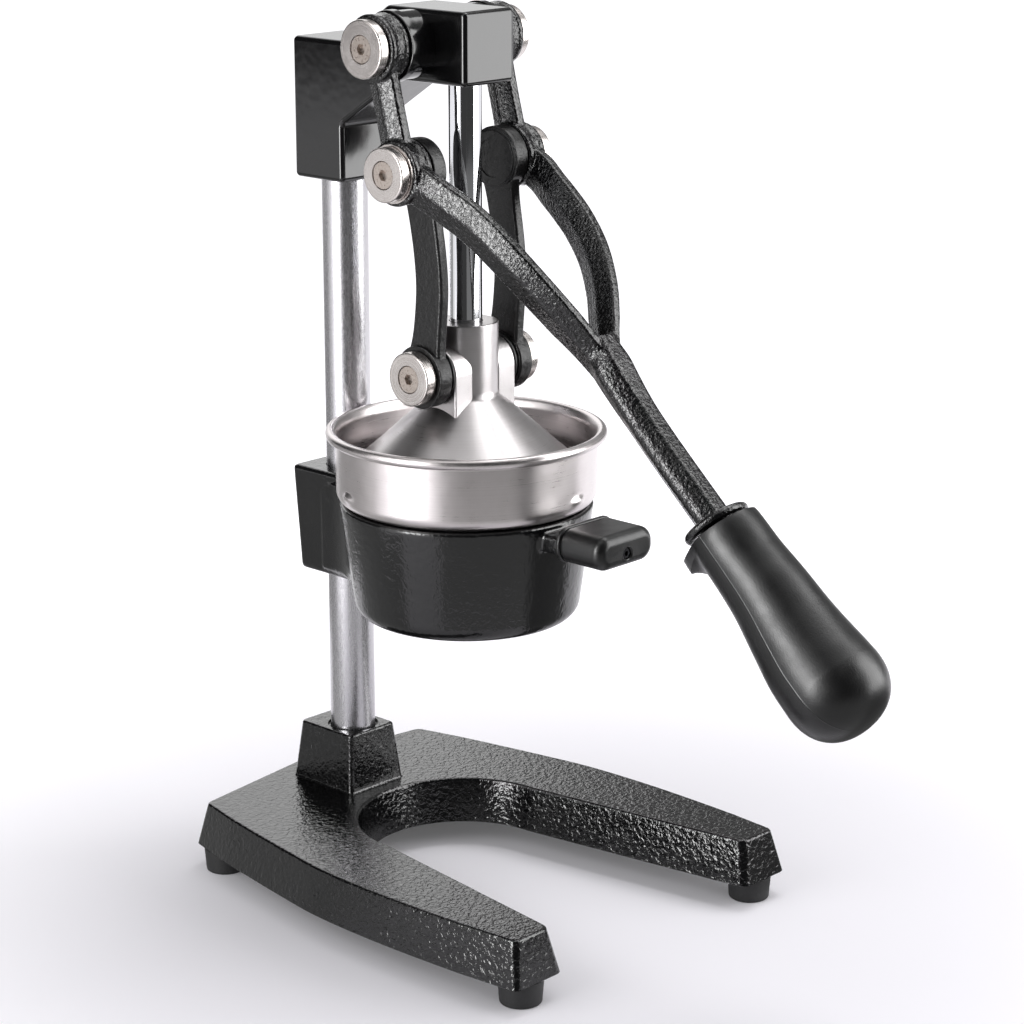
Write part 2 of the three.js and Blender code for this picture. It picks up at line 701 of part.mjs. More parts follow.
// Head casting: rear block on the post, a gusset, and the front block with the trunnion
const head_profile = rounded_outline([
  [head_front, head_front_underside, head_corner_round],
  [head_gusset_front, head_front_underside],
  [head_rear_block_front, head_gusset_top],
  [head_rear_block_front, head_rear_underside, head_corner_round],
  [head_rear, head_rear_underside, head_corner_round],
  [head_rear, head_rear_top, head_corner_round],
  [head_step_rear, head_rear_top],
  [head_step_front, head_top],
  [head_front, head_top, head_corner_round],
].reverse());
const head_body = side_plate(head_profile, -head_half_width, head_half_width, head_edge_round);
const set_screw_start = head_rear - set_screw_sink - set_screw_length;
const trunnion_boss = bar_x(
  trunnion_boss_radius, -trunnion_boss_end, trunnion_boss_end, trunnion_pivot, mid_round_facets, eye_round);
const trunnion_bore = bar_x(
  pin_radius + fit_gap, trunnion_pin_root - fit_gap, trunnion_boss_end + cut_over, trunnion_pivot,
  pin_facets);
const head = cut(joined([head_body, trunnion_boss]), [
  bar_z(post_radius + fit_gap, head_rear_underside - cut_over, post_top + fit_gap, post_place,
    mid_round_facets),
  bar_z(rod_radius + fit_gap, head_front_underside - cut_over, rod_top + fit_gap, [0, 0], mid_round_facets),
  trunnion_bore,
  mirrored(trunnion_bore),
  ...head_set_screw_heights.map(
    (z) => bar_y(set_screw_radius + fit_gap, post_axis, head_rear + cut_over, [0, z], pin_facets)),
]);
add('head_casting', head, gloss_black);

function hex_bar_y(across, start, end, at) {
  return bar_y(across / Math.sqrt(3), start, end, at, hex_sides);
}
function set_screw(start, height) {
  const end = start + set_screw_length;
  return cut(bar_y(set_screw_radius, start, end, [0, height], pin_facets), [
    hex_bar_y(set_screw_hex, end - set_screw_hex_depth, end + cut_over, [0, height]),
  ]);
}
head_set_screw_heights.forEach((z, i) => {
  add(`head_set_screw_${i + 1}`, set_screw(set_screw_start, z), screw_steel);
});

// Guide rod, fixed in the head; the bell slides on it
add('guide_rod', bar_z(rod_radius, rod_foot, rod_top, [0, 0], mid_round_facets, rod_end_round), chrome);

// Lever: arms and stem are lofts through bevelled sections
function section_ring(middle, across, up, corners) {
  return corners.map(([a, b]) => middle.clone().addScaledVector(across, a).addScaledVector(up, b));
}
const arm_corners = (half_height, half_width = arm_half_width, flat = arm_edge_half_width) => [
  [-flat, -half_height], [flat, -half_height], [half_width, arm_ridge], [flat, half_height],
  [-flat, half_height], [-half_width, arm_ridge],
];
const x_axis = new THREE.Vector3(1, 0, 0);
function bent_bar(curve, stations, corners_at) {
  const rings = [];
  for (let k = 0; k <= stations; k += 1) {
    const share = k / stations;
    const middle = curve.getPointAt(share);
    const along = curve.getTangentAt(share);
    const up = new THREE.Vector3().crossVectors(x_axis, along).normalize();
    if (up.z < 0) {
      up.negate();
    }
    rings.push(section_ring(middle, x_axis, up, corners_at(share)));
  }
  const flat = corners_at(0).map(([a, b]) => new THREE.Vector2(a, b));
  return solid(outward(loft(rings, flat)));
}
const smooth_curve = (points) => new THREE.CatmullRomCurve3(
  points.map((p) => new THREE.Vector3(...p)), false, 'centripetal');
const arm_curve = smooth_curve(arm_path);
const arm = bent_bar(arm_curve, arm_stations, () => arm_corners(arm_half_height));
const eye_middle = (eye_inner + eye_outer) / 2;
const crank_curve = new THREE.LineCurve3(
  new THREE.Vector3(eye_middle, ...middle_pivot), new THREE.Vector3(eye_middle, ...trunnion_pivot));
const crank_along = crank_curve.getTangentAt(0);
const crank_up = new THREE.Vector3().crossVectors(crank_along, x_axis).normalize();
const crank_corners = arm_corners(crank_half_height);
const crank_rings = [0, 1].map(
  (share) => section_ring(crank_curve.getPointAt(share), x_axis, crank_up, crank_corners));
const crank = solid(outward(loft(crank_rings, crank_corners.map(([a, b]) => new THREE.Vector2(a, b)))));
const one_side = joined([
  arm, crank,
  bar_x(trunnion_eye_radius, eye_inner, eye_outer, trunnion_pivot, mid_round_facets, eye_round),
  bar_x(middle_eye_radius, eye_inner, eye_outer, middle_pivot, mid_round_facets, eye_round),
]);
const stem_curve = smooth_curve(stem_path.map(([y, z]) => [0, y, z]));
const blend = (a, b, t) => a + (b - a) * t;
const stem = bent_bar(stem_curve, stem_stations, (share) => {
  const ease = THREE.MathUtils.smoothstep(share, 0, stem_root_share);
  const high = blend(stem_root_half_height, stem_half_height, ease);
  const wide = blend(stem_root_half_width, stem_half_width, ease);
  const flat = blend(stem_root_flat, stem_flat_half_width, ease);
  const side = stem_side_half_height;
  return [
    [-flat, -high], [flat, -high], [wide, -side], [wide, side],
    [flat, high], [-flat, high], [-wide, side], [-wide, -side],
  ];
});
const handle_along = new THREE.Vector3(0, -Math.cos(handle_slope), -Math.sin(handle_slope));
const handle_turn = new THREE.Matrix4().makeRotationX(handle_slope);
function along_handle(profile, facets, place) {
  const points = profile.map(([r, s]) => new THREE.Vector2(r, -s));
  const geometry = new THREE.LatheGeometry(points.reverse(), facets);
  geometry.applyMatrix4(handle_turn);
  return solid(geometry).translate([0, ...place]);
}
const collar = along_handle(
  bar_profile(collar_radius, -collar_thickness / 2, collar_thickness / 2, eye_round), mid_round_facets,
  collar_centre);
const tang = along_handle(bar_profile(tang_radius, 0, tang_length), pin_facets, collar_centre);
const pivot_bores = [trunnion_pivot, middle_pivot].flatMap((pivot) => {
  const bore = bar_x(pin_radius + fit_gap, eye_inner - cut_over, eye_outer + cut_over, pivot, pin_facets);
  return [bore, mirrored(bore)];
});
const lever = cut(joined([one_side, mirrored(one_side), stem, collar, tang]), pivot_bores);
add('lever_yoke', lever, hammered_black);

// Grip: round sections along a bent middle line, with a finger guard under its top
const grip_curve = smooth_curve(grip_path.map(([y, z]) => [0, y, z]));
function spline_value(before, here, next, after, u) { // passes smoothly through here and next
  const slope = next - before;
  const bend = 2 * before - 5 * here + 4 * next - after;
  const twist = 3 * here - before - 3 * next + after;
  return here + (slope * u + bend * u * u + twist * u * u * u) / 2;
}
function grip_rings() {
  const rings = [];
  const count = grip_path.length - 1;
  for (let k = 0; k <= grip_stations; k += 1) {
    const t = k / grip_stations;
    const middle = grip_curve.getPoint(t);
    const along = grip_curve.getTangent(t);
    const up = new THREE.Vector3().crossVectors(x_axis, along).normalize();
    const place = t * count;
    const i = Math.min(Math.floor(place), count - 1);
    const near = [i - 1, i, i + 1, i + 2].map((j) => grip_path[THREE.MathUtils.clamp(j, 0, count)][2]);
    const radius = spline_value(...near, place - i);
    const corners = [];
    for (let f = 0; f < grip_facets; f += 1) {
      const angle = (2 * Math.PI * f) / grip_facets;
      corners.push([grip_side_share * radius * Math.cos(angle), radius * Math.sin(angle)]);
    }
    rings.push(section_ring(middle, x_axis, up, corners));
  }
  const tip = new THREE.Vector3(0, ...grip_tip);
  const last = rings[rings.length - 1];
  grip_tip_rings.forEach(([towards, past]) => {
    const moved = (p) => p.clone().lerp(tip, towards).addScaledVector(handle_along, past * grip_side_share);
    rings.push(last.map(moved));
  });
  return rings;
}
const grip_flat = [];
for (let f = 0; f < grip_facets; f += 1) {
  const angle = (2 * Math.PI * f) / grip_facets;
  grip_flat.push(new THREE.Vector2(Math.cos(angle), Math.sin(angle)));
}
const grip_body = solid(outward(loft(grip_rings(), grip_flat)));
const guard_up = new THREE.Vector3(0, -Math.sin(handle_slope), Math.cos(handle_slope));
const grip_start = new THREE.Vector3(0, grip_path[0][0], grip_path[0][1]);
function guard_outline(half_width, reach) {
  const corner = half_width * guard_corner_share;
  return rounded_outline([
    [-half_width, 0], [-half_width, -reach, corner], [half_width, -reach, corner], [half_width, 0],
  ]);
}
function guard_ring(offset, half_width, reach) {
  const middle = grip_start.clone().addScaledVector(handle_along, offset);
  return section_ring(middle, x_axis, guard_up, guard_outline(half_width, reach).map((p) => [p.x, p.y]));
}
const guard_levels = [
  [guard_start, guard_half_width - guard_round, guard_reach - guard_round],
  [guard_rise, guard_half_width, guard_reach],
  [guard_offset, guard_half_width, guard_reach - guard_round / 2],
  [guard_thickness, guard_tail_half_width, guard_tail_reach],
];
const guard_flat = guard_outline(guard_half_width, guard_reach);
const guard = solid(outward(loft(guard_levels.map((level) => guard_ring(...level)), guard_flat)));
const grip_cavity = along_handle(
  bar_profile(tang_radius + fit_gap, -cut_over, tang_length + fit_gap + cut_over), pin_facets,
  collar_centre);
const grip_trim = along_handle(
  bar_profile(guard_reach * 2, -guard_reach, collar_thickness / 2 + fit_gap), pin_facets, collar_centre);
add('lever_grip', cut(joined([grip_body, guard]), [grip_trim, grip_cavity]), grip_black);

// Links: flat curved plates with an eye at each end
const link_curve = new THREE.SplineCurve(link_path.map(([y, z]) => new THREE.Vector2(y, z)));
function link_outline() {
  const left = [];
  const right = [];
  for (let k = 0; k <= link_stations; k += 1) {
    const share = k / link_stations;
    const middle = link_curve.getPointAt(share);
    const along = link_curve.getTangentAt(share);
    const eye = 2 * share < 1 ? link_upper_eye : link_lower_eye;
    const open = Math.abs(2 * share - 1) ** link_waist_power;
    const half = blend(link_half_width, eye, open);
    left.push(new THREE.Vector2(middle.x - along.y * half, middle.y + along.x * half));
    right.push(new THREE.Vector2(middle.x + along.y * half, middle.y - along.x * half));
  }
  const cap_points = (pivot, radius, from, to) => {
    const points = [];
    const first = Math.atan2(from.y - pivot[1], from.x - pivot[0]);
    let sweep = Math.atan2(to.y - pivot[1], to.x - pivot[0]) - first;
    if (sweep <= 0) {
      sweep += 2 * Math.PI;
    }
    for (let k = 1; k < eye_arc_facets; k += 1) {
      const angle = first + (sweep * k) / eye_arc_facets;
      points.push(new THREE.Vector2(
        pivot[0] + radius * Math.cos(angle), pivot[1] + radius * Math.sin(angle)));
    }
    return points;
  };
  const lower = cap_points(bell_pivot, link_lower_eye, right[link_stations], left[link_stations]);
  const upper = cap_points(middle_pivot, link_upper_eye, left[0], right[0]);
  return [...right, ...lower, ...left.reverse(), ...upper];
}
const link_bush_start = link_boss_outer - link_bush_depth;
const link_body = cut(joined([
  side_plate(link_outline(), link_inner, link_outer, link_edge_round),
  bar_x(link_upper_eye, link_inner, link_boss_outer, middle_pivot, mid_round_facets, link_edge_round),
  bar_x(link_lower_eye, link_inner, link_boss_outer, bell_pivot, mid_round_facets, link_edge_round),
]), [
  bar_x(pin_radius + fit_gap, link_inner - cut_over, link_boss_outer + cut_over, bell_pivot, pin_facets),
  bar_x(pin_radius + fit_gap, link_bush_start - fit_gap, link_boss_outer + cut_over, middle_pivot,
    pin_facets),
]);
const link_bush = bar_x(pin_radius, link_bush_start, link_boss_outer, middle_pivot, pin_facets);
const both_sides = [['right', (body) => body], ['left', mirrored]];
both_sides.forEach(([side, place]) => {
  add(`link_${side}`, place(link_body), satin_black);
  add(`link_pin_end_${side}`, place(link_bush), screw_steel);
});

// Pivot hardware: pin, washer, cap and countersunk screw on each side
function hex_bar_x(across, start, end, pivot) {
  return bar_x(across / Math.sqrt(3), start, end, pivot, hex_sides);
}
function pivot_set(name, pivot, pin_start, seat, cap_size, with_washer) {
  const [cap_face_radius, cap_thickness] = cap_size;
  const washer_start = seat + fit_gap;
  const cap_start = with_washer ? washer_start + washer_thickness + fit_gap : seat + fit_gap;
  const cap_end = cap_start + cap_thickness;
  const head_end = cap_end - screw_sink;
  const sink = (gap) => turned([
    [0, head_end - screw_head_depth],
    [screw_radius + gap, head_end - screw_head_depth - gap],
    [screw_head_radius + gap, head_end - screw_head_depth * screw_rim_share],
    [screw_head_radius + gap, gap > 0 ? cap_end + cut_over : head_end],
    [0, gap > 0 ? cap_end + cut_over : head_end],
  ], small_round_facets, lathe_to_x).translate([0, ...pivot]);
  const screw_end = cap_end - screw_reach;
  const cap = cut(bar_x(cap_face_radius, cap_start, cap_end, pivot, mid_round_facets, cap_edge_round), [
    sink(fit_gap),
    bar_x(screw_radius + fit_gap, cap_start - cut_over, cap_end, pivot, pin_facets),
  ]);
  const shank = bar_x(screw_radius, screw_end, head_end - screw_head_depth / 2, pivot, pin_facets);
  const screw = cut(joined([sink(0), shank]), [
    hex_bar_x(hex_socket_across, head_end - hex_socket_depth, head_end + cut_over, pivot),
  ]);
  const pin = cut(bar_x(pin_radius, pin_start, seat, pivot, pin_facets), [
    bar_x(screw_radius + fit_gap, screw_end - fit_gap, seat + cut_over, pivot, pin_facets),
  ]);
  both_sides.forEach(([side, place]) => {
    add(`${name}_pin_${side}`, place(pin), screw_steel);
    add(`${name}_cap_${side}`, place(cap), turned_steel);
    add(`${name}_screw_${side}`, place(screw), screw_steel);
    if (with_washer) {
      const washer_end = washer_start + washer_thickness;
      const disc = bar_x(washer_radius, washer_start, washer_end, pivot, small_round_facets);
      const ring = cut(disc, [
        bar_x(screw_radius + fit_gap, washer_start - cut_over, cap_end, pivot, pin_facets),
      ]);
      add(`${name}_washer_${side}`, place(ring), turned_steel);
    }
  });
}
pivot_set('trunnion', trunnion_pivot, trunnion_pin_root, eye_outer,
  [trunnion_cap_radius, trunnion_cap_thickness], false);
pivot_set('middle', middle_pivot, eye_inner, eye_outer, [cap_radius, middle_cap_thickness], true);
pivot_set('bell_pivot', bell_pivot, lug_inner + fit_gap + cut_over, link_boss_outer,
  [cap_radius, bell_cap_thickness], false);

// Bell: a hollow cone and neck with two lugs
const bell_profile = [
  [rod_radius + fit_gap, neck_top], [rod_radius + fit_gap, bell_inner_top],
  [bell_inner_top_radius, bell_inner_top], [bell_shoulder - bell_wall, bell_inner_shoulder_height],
  [bell_rim_radius - bell_wall, bell_rim_top - bell_wall / 2], [bell_rim_radius - bell_wall, bell_rim_foot],
  [bell_rim_radius, bell_rim_foot], [bell_rim_radius, bell_rim_top],
  [bell_shoulder, bell_shoulder_height], [neck_radius + neck_edge_round, neck_foot - neck_edge_round],
  [neck_radius, neck_foot + neck_edge_round], [neck_radius, neck_top - neck_edge_round],
  [neck_radius - neck_edge_round, neck_top], [rod_radius + fit_gap, neck_top],
];
function spun(profile) { // a closed profile turned about Z, right side out either way
  const points = profile.map(([r, z]) => new THREE.Vector2(r, z));
  const geometry = new THREE.LatheGeometry(points, big_round_facets);
  geometry.applyMatrix4(lathe_to_z);
  return solid(outward(geometry));
}
const bell_turned = spun(bell_profile);
const lug_points = [[lug_half_width, lug_foot]];
const lug_arc_steps = mid_round_facets / 2;
for (let k = 0; k <= lug_arc_steps; k += 1) {
  const angle = (Math.PI * k) / lug_arc_steps;
  lug_points.push([
    lug_half_width * Math.cos(angle), bell_pivot[1] + lug_half_width * Math.sin(angle)]);
}
lug_points.push([-lug_half_width, lug_foot]);
const lug_outline = lug_points.map(([y, z]) => new THREE.Vector2(y, z));
const lug_plate = side_plate(lug_outline, lug_inner, lug_outer, lug_edge_round);
const bell_inside = turned([
  [0, neck_top + cut_over], [rod_radius + fit_gap, neck_top + cut_over],
  [rod_radius + fit_gap, bell_inner_top],
  [bell_inner_top_radius, bell_inner_top], [bell_shoulder - bell_wall, bell_inner_shoulder_height],
  [bell_rim_radius - bell_wall, bell_rim_top - bell_wall / 2],
  [bell_rim_radius - bell_wall, bell_rim_foot - cut_over],
  [0, bell_rim_foot - cut_over],
].reverse(), big_round_facets);
const lug_bore = bar_x(
  pin_radius + fit_gap, lug_inner + cut_over, lug_outer + cut_over, bell_pivot, pin_facets);
const bell_body = joined([bell_turned, lug_plate, mirrored(lug_plate)]);
add('press_bell', cut(bell_body, [bell_inside, lug_bore, mirrored(lug_bore)]), cast_aluminium);
const spacer_disc = bar_x(
  bell_spacer_radius, bell_spacer_inner, bell_spacer_outer, bell_pivot, small_round_facets);
const bell_spacer = cut(spacer_disc, [
  bar_x(pin_radius + fit_gap, bell_spacer_inner - cut_over, bell_spacer_outer + cut_over, bell_pivot,
    pin_facets),
]);
both_sides.forEach(([side, place]) => add(`bell_spacer_${side}`, place(bell_spacer), gloss_black));

// Bowl and clamp: a drafted bowl, a flared web and the block on the post
const bowl_corner_points = [];
for (let k = 0; k <= corner_steps; k += 1) {
  const angle = (Math.PI / 2) * (k / corner_steps);
  bowl_corner_points.push([
    bowl_foot_radius - bowl_corner * (1 - Math.sin(angle)),
    bowl_foot + bowl_corner * (1 - Math.cos(angle)),
  ]);
}
const bowl_outer = turned([
  [0, spout_foot], [spout_radius, spout_foot], [spout_radius, bowl_foot], ...bowl_corner_points,
  [bowl_top_radius, bowl_top - bowl_lip], [bowl_top_radius - bowl_lip, bowl_top], [0, bowl_top],
], big_round_facets);
const bowl_inner = turned([
  [0, spout_foot - cut_over], [spout_bore, spout_foot - cut_over], [spout_bore, bowl_funnel_floor],
  [bowl_funnel_radius, bowl_floor], [bowl_foot_radius - bowl_wall, bowl_floor + bowl_wall],
  [bowl_top_radius - bowl_wall, bowl_top + cut_over], [0, bowl_top + cut_over],
], big_round_facets);
const clamp_plan = (half_width, rear) => rectangle(-half_width, half_width, clamp_front, rear, clamp_round);
const clamp = stacked([
  [clamp_plan(clamp_foot_half_width, clamp_rear - clamp_draft), clamp_foot],
  [clamp_plan(clamp_half_width, clamp_rear), clamp_top],
]);
const web_side = new THREE.QuadraticBezierCurve(
  new THREE.Vector2(web_front_half_width, web_front), new THREE.Vector2(web_waist_half_width, web_waist),
  new THREE.Vector2(clamp_half_width, web_rear));
const web_right = web_side.getPoints(corner_steps * 2);
const web_plan = [...web_right, ...web_right.map((p) => new THREE.Vector2(-p.x, p.y)).reverse()];
const web = stacked([[web_plan, web_foot], [web_plan, web_top]]);
const clamp_bore = bar_z(
  post_radius + fit_gap, clamp_foot - cut_over, clamp_top + cut_over, post_place, mid_round_facets);
const clamp_screw_hole = bar_y(
  set_screw_radius + fit_gap, post_axis, clamp_rear + cut_over, [0, clamp_screw_height], pin_facets);
const tab_plan = rectangle(-tab_half_width, tab_half_width, tab_end, tab_root, tab_round);
const tab = stacked([[tab_plan, tab_foot], [tab_plan, tab_top]]);
const knob_screw_place = [0, knob_screw_height];
const holder = cut(joined([bowl_outer, clamp, web, tab]), [
  bowl_inner, clamp_bore, clamp_screw_hole,
  bar_y(knob_screw_shank + fit_gap, knob_front - cut_over, knob_front + knob_screw_reach + fit_gap,
    knob_screw_place, pin_facets),
]);
add('bowl_holder', holder, hammered_black);
const clamp_screw_start = clamp_rear - clamp_draft - set_screw_length;
add('clamp_set_screw', set_screw(clamp_screw_start, clamp_screw_height), screw_steel);

// Small grip on the tab, with its screw sunk in the front
const knob_front_view = rounded_outline([
  [-knob_half_width, knob_foot, knob_side_round], [knob_half_width, knob_foot, knob_side_round],
  [knob_half_width, knob_top, knob_side_round], [-knob_half_width, knob_top, knob_side_round],
]);
const knob_body = front_plate(knob_front_view, knob_front, knob_rear, knob_edge_round);
const pocket_half_width = tab_half_width + fit_gap;
const pocket_plan = rectangle(
  -pocket_half_width, pocket_half_width, tab_end - fit_gap, knob_rear + cut_over, tab_round);
const knob_pocket = stacked([[pocket_plan, tab_foot - fit_gap], [pocket_plan, tab_top + fit_gap]]);
const knob_screw_seat = knob_front + knob_screw_sink;
const knob_screw_under_head = knob_screw_seat + knob_screw_head_height;
const knob = cut(knob_body, [
  knob_pocket,
  bar_y(knob_screw_radius + fit_gap, knob_front - cut_over, knob_screw_under_head + fit_gap,
    knob_screw_place, pin_facets),
  bar_y(knob_screw_shank + fit_gap, knob_front, tab_end + cut_over, knob_screw_place, pin_facets),
]);
add('bowl_grip', knob, grip_black);
const knob_screw_neck = knob_screw_seat + knob_screw_head_height / 2;
const knob_screw_head = bar_y(
  knob_screw_radius, knob_screw_seat, knob_screw_under_head, knob_screw_place, pin_facets);
const knob_shank = bar_y(
  knob_screw_shank, knob_screw_neck, knob_front + knob_screw_reach, knob_screw_place, pin_facets);
const knob_socket = hex_bar_y(set_screw_hex, knob_screw_seat - cut_over, knob_screw_neck, knob_screw_place);
add('bowl_grip_screw', cut(joined([knob_screw_head, knob_shank]), [knob_socket]), screw_steel);

// Pan: thin spun sheet, rolled rim, a step that drops into the bowl, and dimples
const pan_outer = [
  [pan_step_radius - pan_sheet * pan_step_ease, pan_step_floor],
  [pan_step_radius, pan_step_floor + pan_sheet],
  [pan_step_radius, pan_floor],
];
const pan_corner_outer = [];
const pan_corner_inner = [];
for (let k = 0; k <= corner_steps; k += 1) {
  const angle = (Math.PI / 2) * (k / corner_steps);
  const centre = [pan_wall_radius - pan_corner, pan_floor + pan_corner];
  const outer = pan_corner;
  pan_corner_outer.push([centre[0] + outer * Math.sin(angle), centre[1] - outer * Math.cos(angle)]);
  const inner = pan_corner - pan_sheet;
  pan_corner_inner.push([centre[0] + inner * Math.sin(angle), centre[1] - inner * Math.cos(angle)]);
}
const roll_points = [];
for (let k = 0; k <= pan_roll_facets; k += 1) {
  const angle = pan_roll_start + (pan_roll_turn * k) / pan_roll_facets;
  roll_points.push([
    pan_rim_radius + pan_roll * Math.cos(angle), pan_rim_height + pan_roll * Math.sin(angle)]);
}
const pan_profile = [
  [pan_drain_inner, pan_step_floor], ...pan_outer, ...pan_corner_outer,
  [pan_wall_radius, pan_rim_height - pan_roll * pan_wall_lap], ...roll_points,
  [pan_wall_radius - pan_sheet, pan_rim_height - pan_roll * pan_wall_inner_lap],
  ...pan_corner_inner.slice().reverse(),
  [pan_step_radius - pan_sheet, pan_floor + pan_sheet],
  [pan_step_radius - pan_sheet, pan_step_floor + 2 * pan_sheet],
  [pan_step_radius - pan_step_inner_ease * pan_sheet, pan_step_floor + pan_sheet],
  [pan_drain_inner, pan_step_floor + pan_sheet],
  [pan_drain_inner, pan_step_floor],
];
const pan_body = spun(pan_profile);
const dimples = [];
for (let k = 0; k < dimple_count; k += 1) {
  const angle = dimple_turn + (2 * Math.PI * k) / dimple_count;
  const ball = new THREE.SphereGeometry(dimple_radius, pin_facets / 2, pin_facets / 3);
  const stand = pan_wall_radius - dimple_radius + dimple_rise;
  ball.translate(stand * Math.cos(angle), stand * Math.sin(angle), dimple_height);
  dimples.push(solid(ball));
}
const pan_hollow = bar_z(
  pan_wall_radius - pan_sheet, pan_floor + pan_corner / 2, pan_rim_height, [0, 0], big_round_facets);
add('strainer_pan', joined([pan_body, ...dimples.map((ball) => ball.subtract(pan_hollow))]), spun_steel);

// Reamer: a ribbed cone on a slotted flange that rests in the pan
const reamer_skin_wall = reamer_wall * reamer_skin_share;
const reamer_dome = [];
for (let k = 1; k <= corner_steps; k += 1) {
  const angle = (Math.PI / 2) * (k / corner_steps);
  const rise = reamer_tip_radius * reamer_tip_share * Math.sin(angle);
  reamer_dome.push([reamer_tip_radius * Math.cos(angle), reamer_tip_height + rise]);
}
const reamer_deck = reamer_foot + reamer_flange_thickness;
const reamer_skin = spun([
  [0, reamer_tip_height - reamer_wall],
  [reamer_tip_radius - reamer_wall, reamer_tip_height - reamer_skin_wall],
  [reamer_root_radius - reamer_skin_wall, reamer_foot], [reamer_flange_radius, reamer_foot],
  [reamer_flange_radius, reamer_deck], [reamer_root_radius + reamer_wall, reamer_deck],
  [reamer_root_radius, reamer_root_height], [reamer_tip_radius, reamer_tip_height], ...reamer_dome,
]);
const rib_side = [ // X, Z and share of the thickness at each corner of a rib
  [reamer_tip_radius / 2, reamer_tip_height - 2 * reamer_rib_lap, 1],
  [reamer_root_radius - reamer_wall, reamer_foot + reamer_rib_lap, 1],
  [reamer_root_radius + reamer_rib_height, reamer_root_height - reamer_rib_lap, 1],
  [reamer_tip_radius + reamer_rib_height / 2, reamer_tip_height + reamer_rib_lap, reamer_rib_crest_share],
];
const rib_rings = [-1, 1].map((side) => rib_side.map(
  ([x, z, share]) => new THREE.Vector3(x, (side * share * reamer_rib_thickness) / 2, z)));
const reamer_rib = solid(outward(loft(rib_rings, rib_side.map(([x, z]) => new THREE.Vector2(x, z)))));
const full_turn = 360;
const rotated = (body, share) => body.rotate([0, 0, full_turn * share]);
const reamer_ribs = Array.from(
  { length: reamer_rib_count }, (_, k) => rotated(reamer_rib, k / reamer_rib_count));
const slot = block(
  [reamer_slot_inner + reamer_wall, -reamer_slot_width / 2, reamer_foot - cut_over],
  [reamer_slot_outer, reamer_slot_width / 2, reamer_deck + cut_over]);
const half_step = 1 / (2 * reamer_slot_count);
const slots = Array.from(
  { length: reamer_slot_count }, (_, k) => rotated(slot, k / reamer_slot_count + half_step));
const reamer_hollow = turned([
  [0, reamer_foot - cut_over], [reamer_root_radius - reamer_skin_wall, reamer_foot - cut_over],
  [reamer_root_radius - reamer_skin_wall, reamer_foot],
  [reamer_tip_radius - reamer_wall, reamer_tip_height - reamer_skin_wall],
  [0, reamer_tip_height - reamer_wall],
], big_round_facets);
add('reamer_cone', cut(joined([reamer_skin, ...reamer_ribs]), [reamer_hollow, ...slots]), cast_aluminium);

// The set stands centred on its own footprint, with the ground at Z = 0
const bounds = new THREE.Box3().setFromObject(group);
const shift_x = -(bounds.min.x + bounds.max.x) / 2;
const shift_y = -(bounds.min.y + bounds.max.y) / 2;
group.children.forEach((mesh) => mesh.geometry.translate(shift_x, shift_y, -bounds.min.z));
console.log(`centred by X ${shift_x.toFixed(3)}, Y ${shift_y.toFixed(3)}, Z ${(-bounds.min.z).toFixed(3)}`);

export default group;
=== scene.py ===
# %% [markdown]
# A lever citrus press, dressed for a picture.
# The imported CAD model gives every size, place and joint. This script keeps that frame, swaps the
# faceted solids for smooth surfaces worked out with numpy, and gives each one a material that is
# built from what the real part is made of.

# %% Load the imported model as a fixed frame
import math

import bpy
import numpy as np
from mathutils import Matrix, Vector


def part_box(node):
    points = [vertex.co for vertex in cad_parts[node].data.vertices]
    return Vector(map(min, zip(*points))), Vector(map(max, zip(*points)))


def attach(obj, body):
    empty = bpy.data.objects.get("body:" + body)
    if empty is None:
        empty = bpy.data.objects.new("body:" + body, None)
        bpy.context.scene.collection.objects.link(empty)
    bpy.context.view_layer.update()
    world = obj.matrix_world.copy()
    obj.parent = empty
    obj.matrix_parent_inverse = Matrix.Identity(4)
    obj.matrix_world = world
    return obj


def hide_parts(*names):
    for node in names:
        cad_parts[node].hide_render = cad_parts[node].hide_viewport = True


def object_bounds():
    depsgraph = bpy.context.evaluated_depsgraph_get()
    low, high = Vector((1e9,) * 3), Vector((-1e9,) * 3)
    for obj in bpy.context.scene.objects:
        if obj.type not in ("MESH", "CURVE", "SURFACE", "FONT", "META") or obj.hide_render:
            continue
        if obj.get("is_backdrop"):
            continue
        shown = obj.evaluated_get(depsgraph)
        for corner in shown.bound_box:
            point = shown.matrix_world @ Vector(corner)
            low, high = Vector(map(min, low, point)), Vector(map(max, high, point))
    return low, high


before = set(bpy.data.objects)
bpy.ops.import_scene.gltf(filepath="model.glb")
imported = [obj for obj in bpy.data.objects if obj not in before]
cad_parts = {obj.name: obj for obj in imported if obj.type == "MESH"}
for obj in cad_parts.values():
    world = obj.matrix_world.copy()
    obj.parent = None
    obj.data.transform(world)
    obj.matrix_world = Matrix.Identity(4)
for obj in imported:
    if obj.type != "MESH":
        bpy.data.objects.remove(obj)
cad_low, cad_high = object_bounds()
rod_low, rod_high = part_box("guide_rod")
press_axis_y = 0.5 * (rod_low[1] + rod_high[1])
print("the press axis stands at y =", round(press_axis_y * 1000, 3), "mm")

# %% [markdown]
# The camera comes first, because every later choice is judged through it.
# A long lens keeps the verticals of the press nearly parallel, as a product photographer would
# have them. The place, turn and lens were fitted to the edges of the object, with no shift.

# %% Camera at the photograph's viewing angle
def stand(name, data):
    """A new object that holds this data, linked into the scene."""
    obj = bpy.data.objects.new(name, data)
    bpy.context.scene.collection.objects.link(obj)
    return obj


camera_place = (-0.9932, -0.9670 + press_axis_y, 0.5887)
camera_turn = (math.radians(74.3), 0.0, math.radians(-46.7))
camera_lens = 101.25

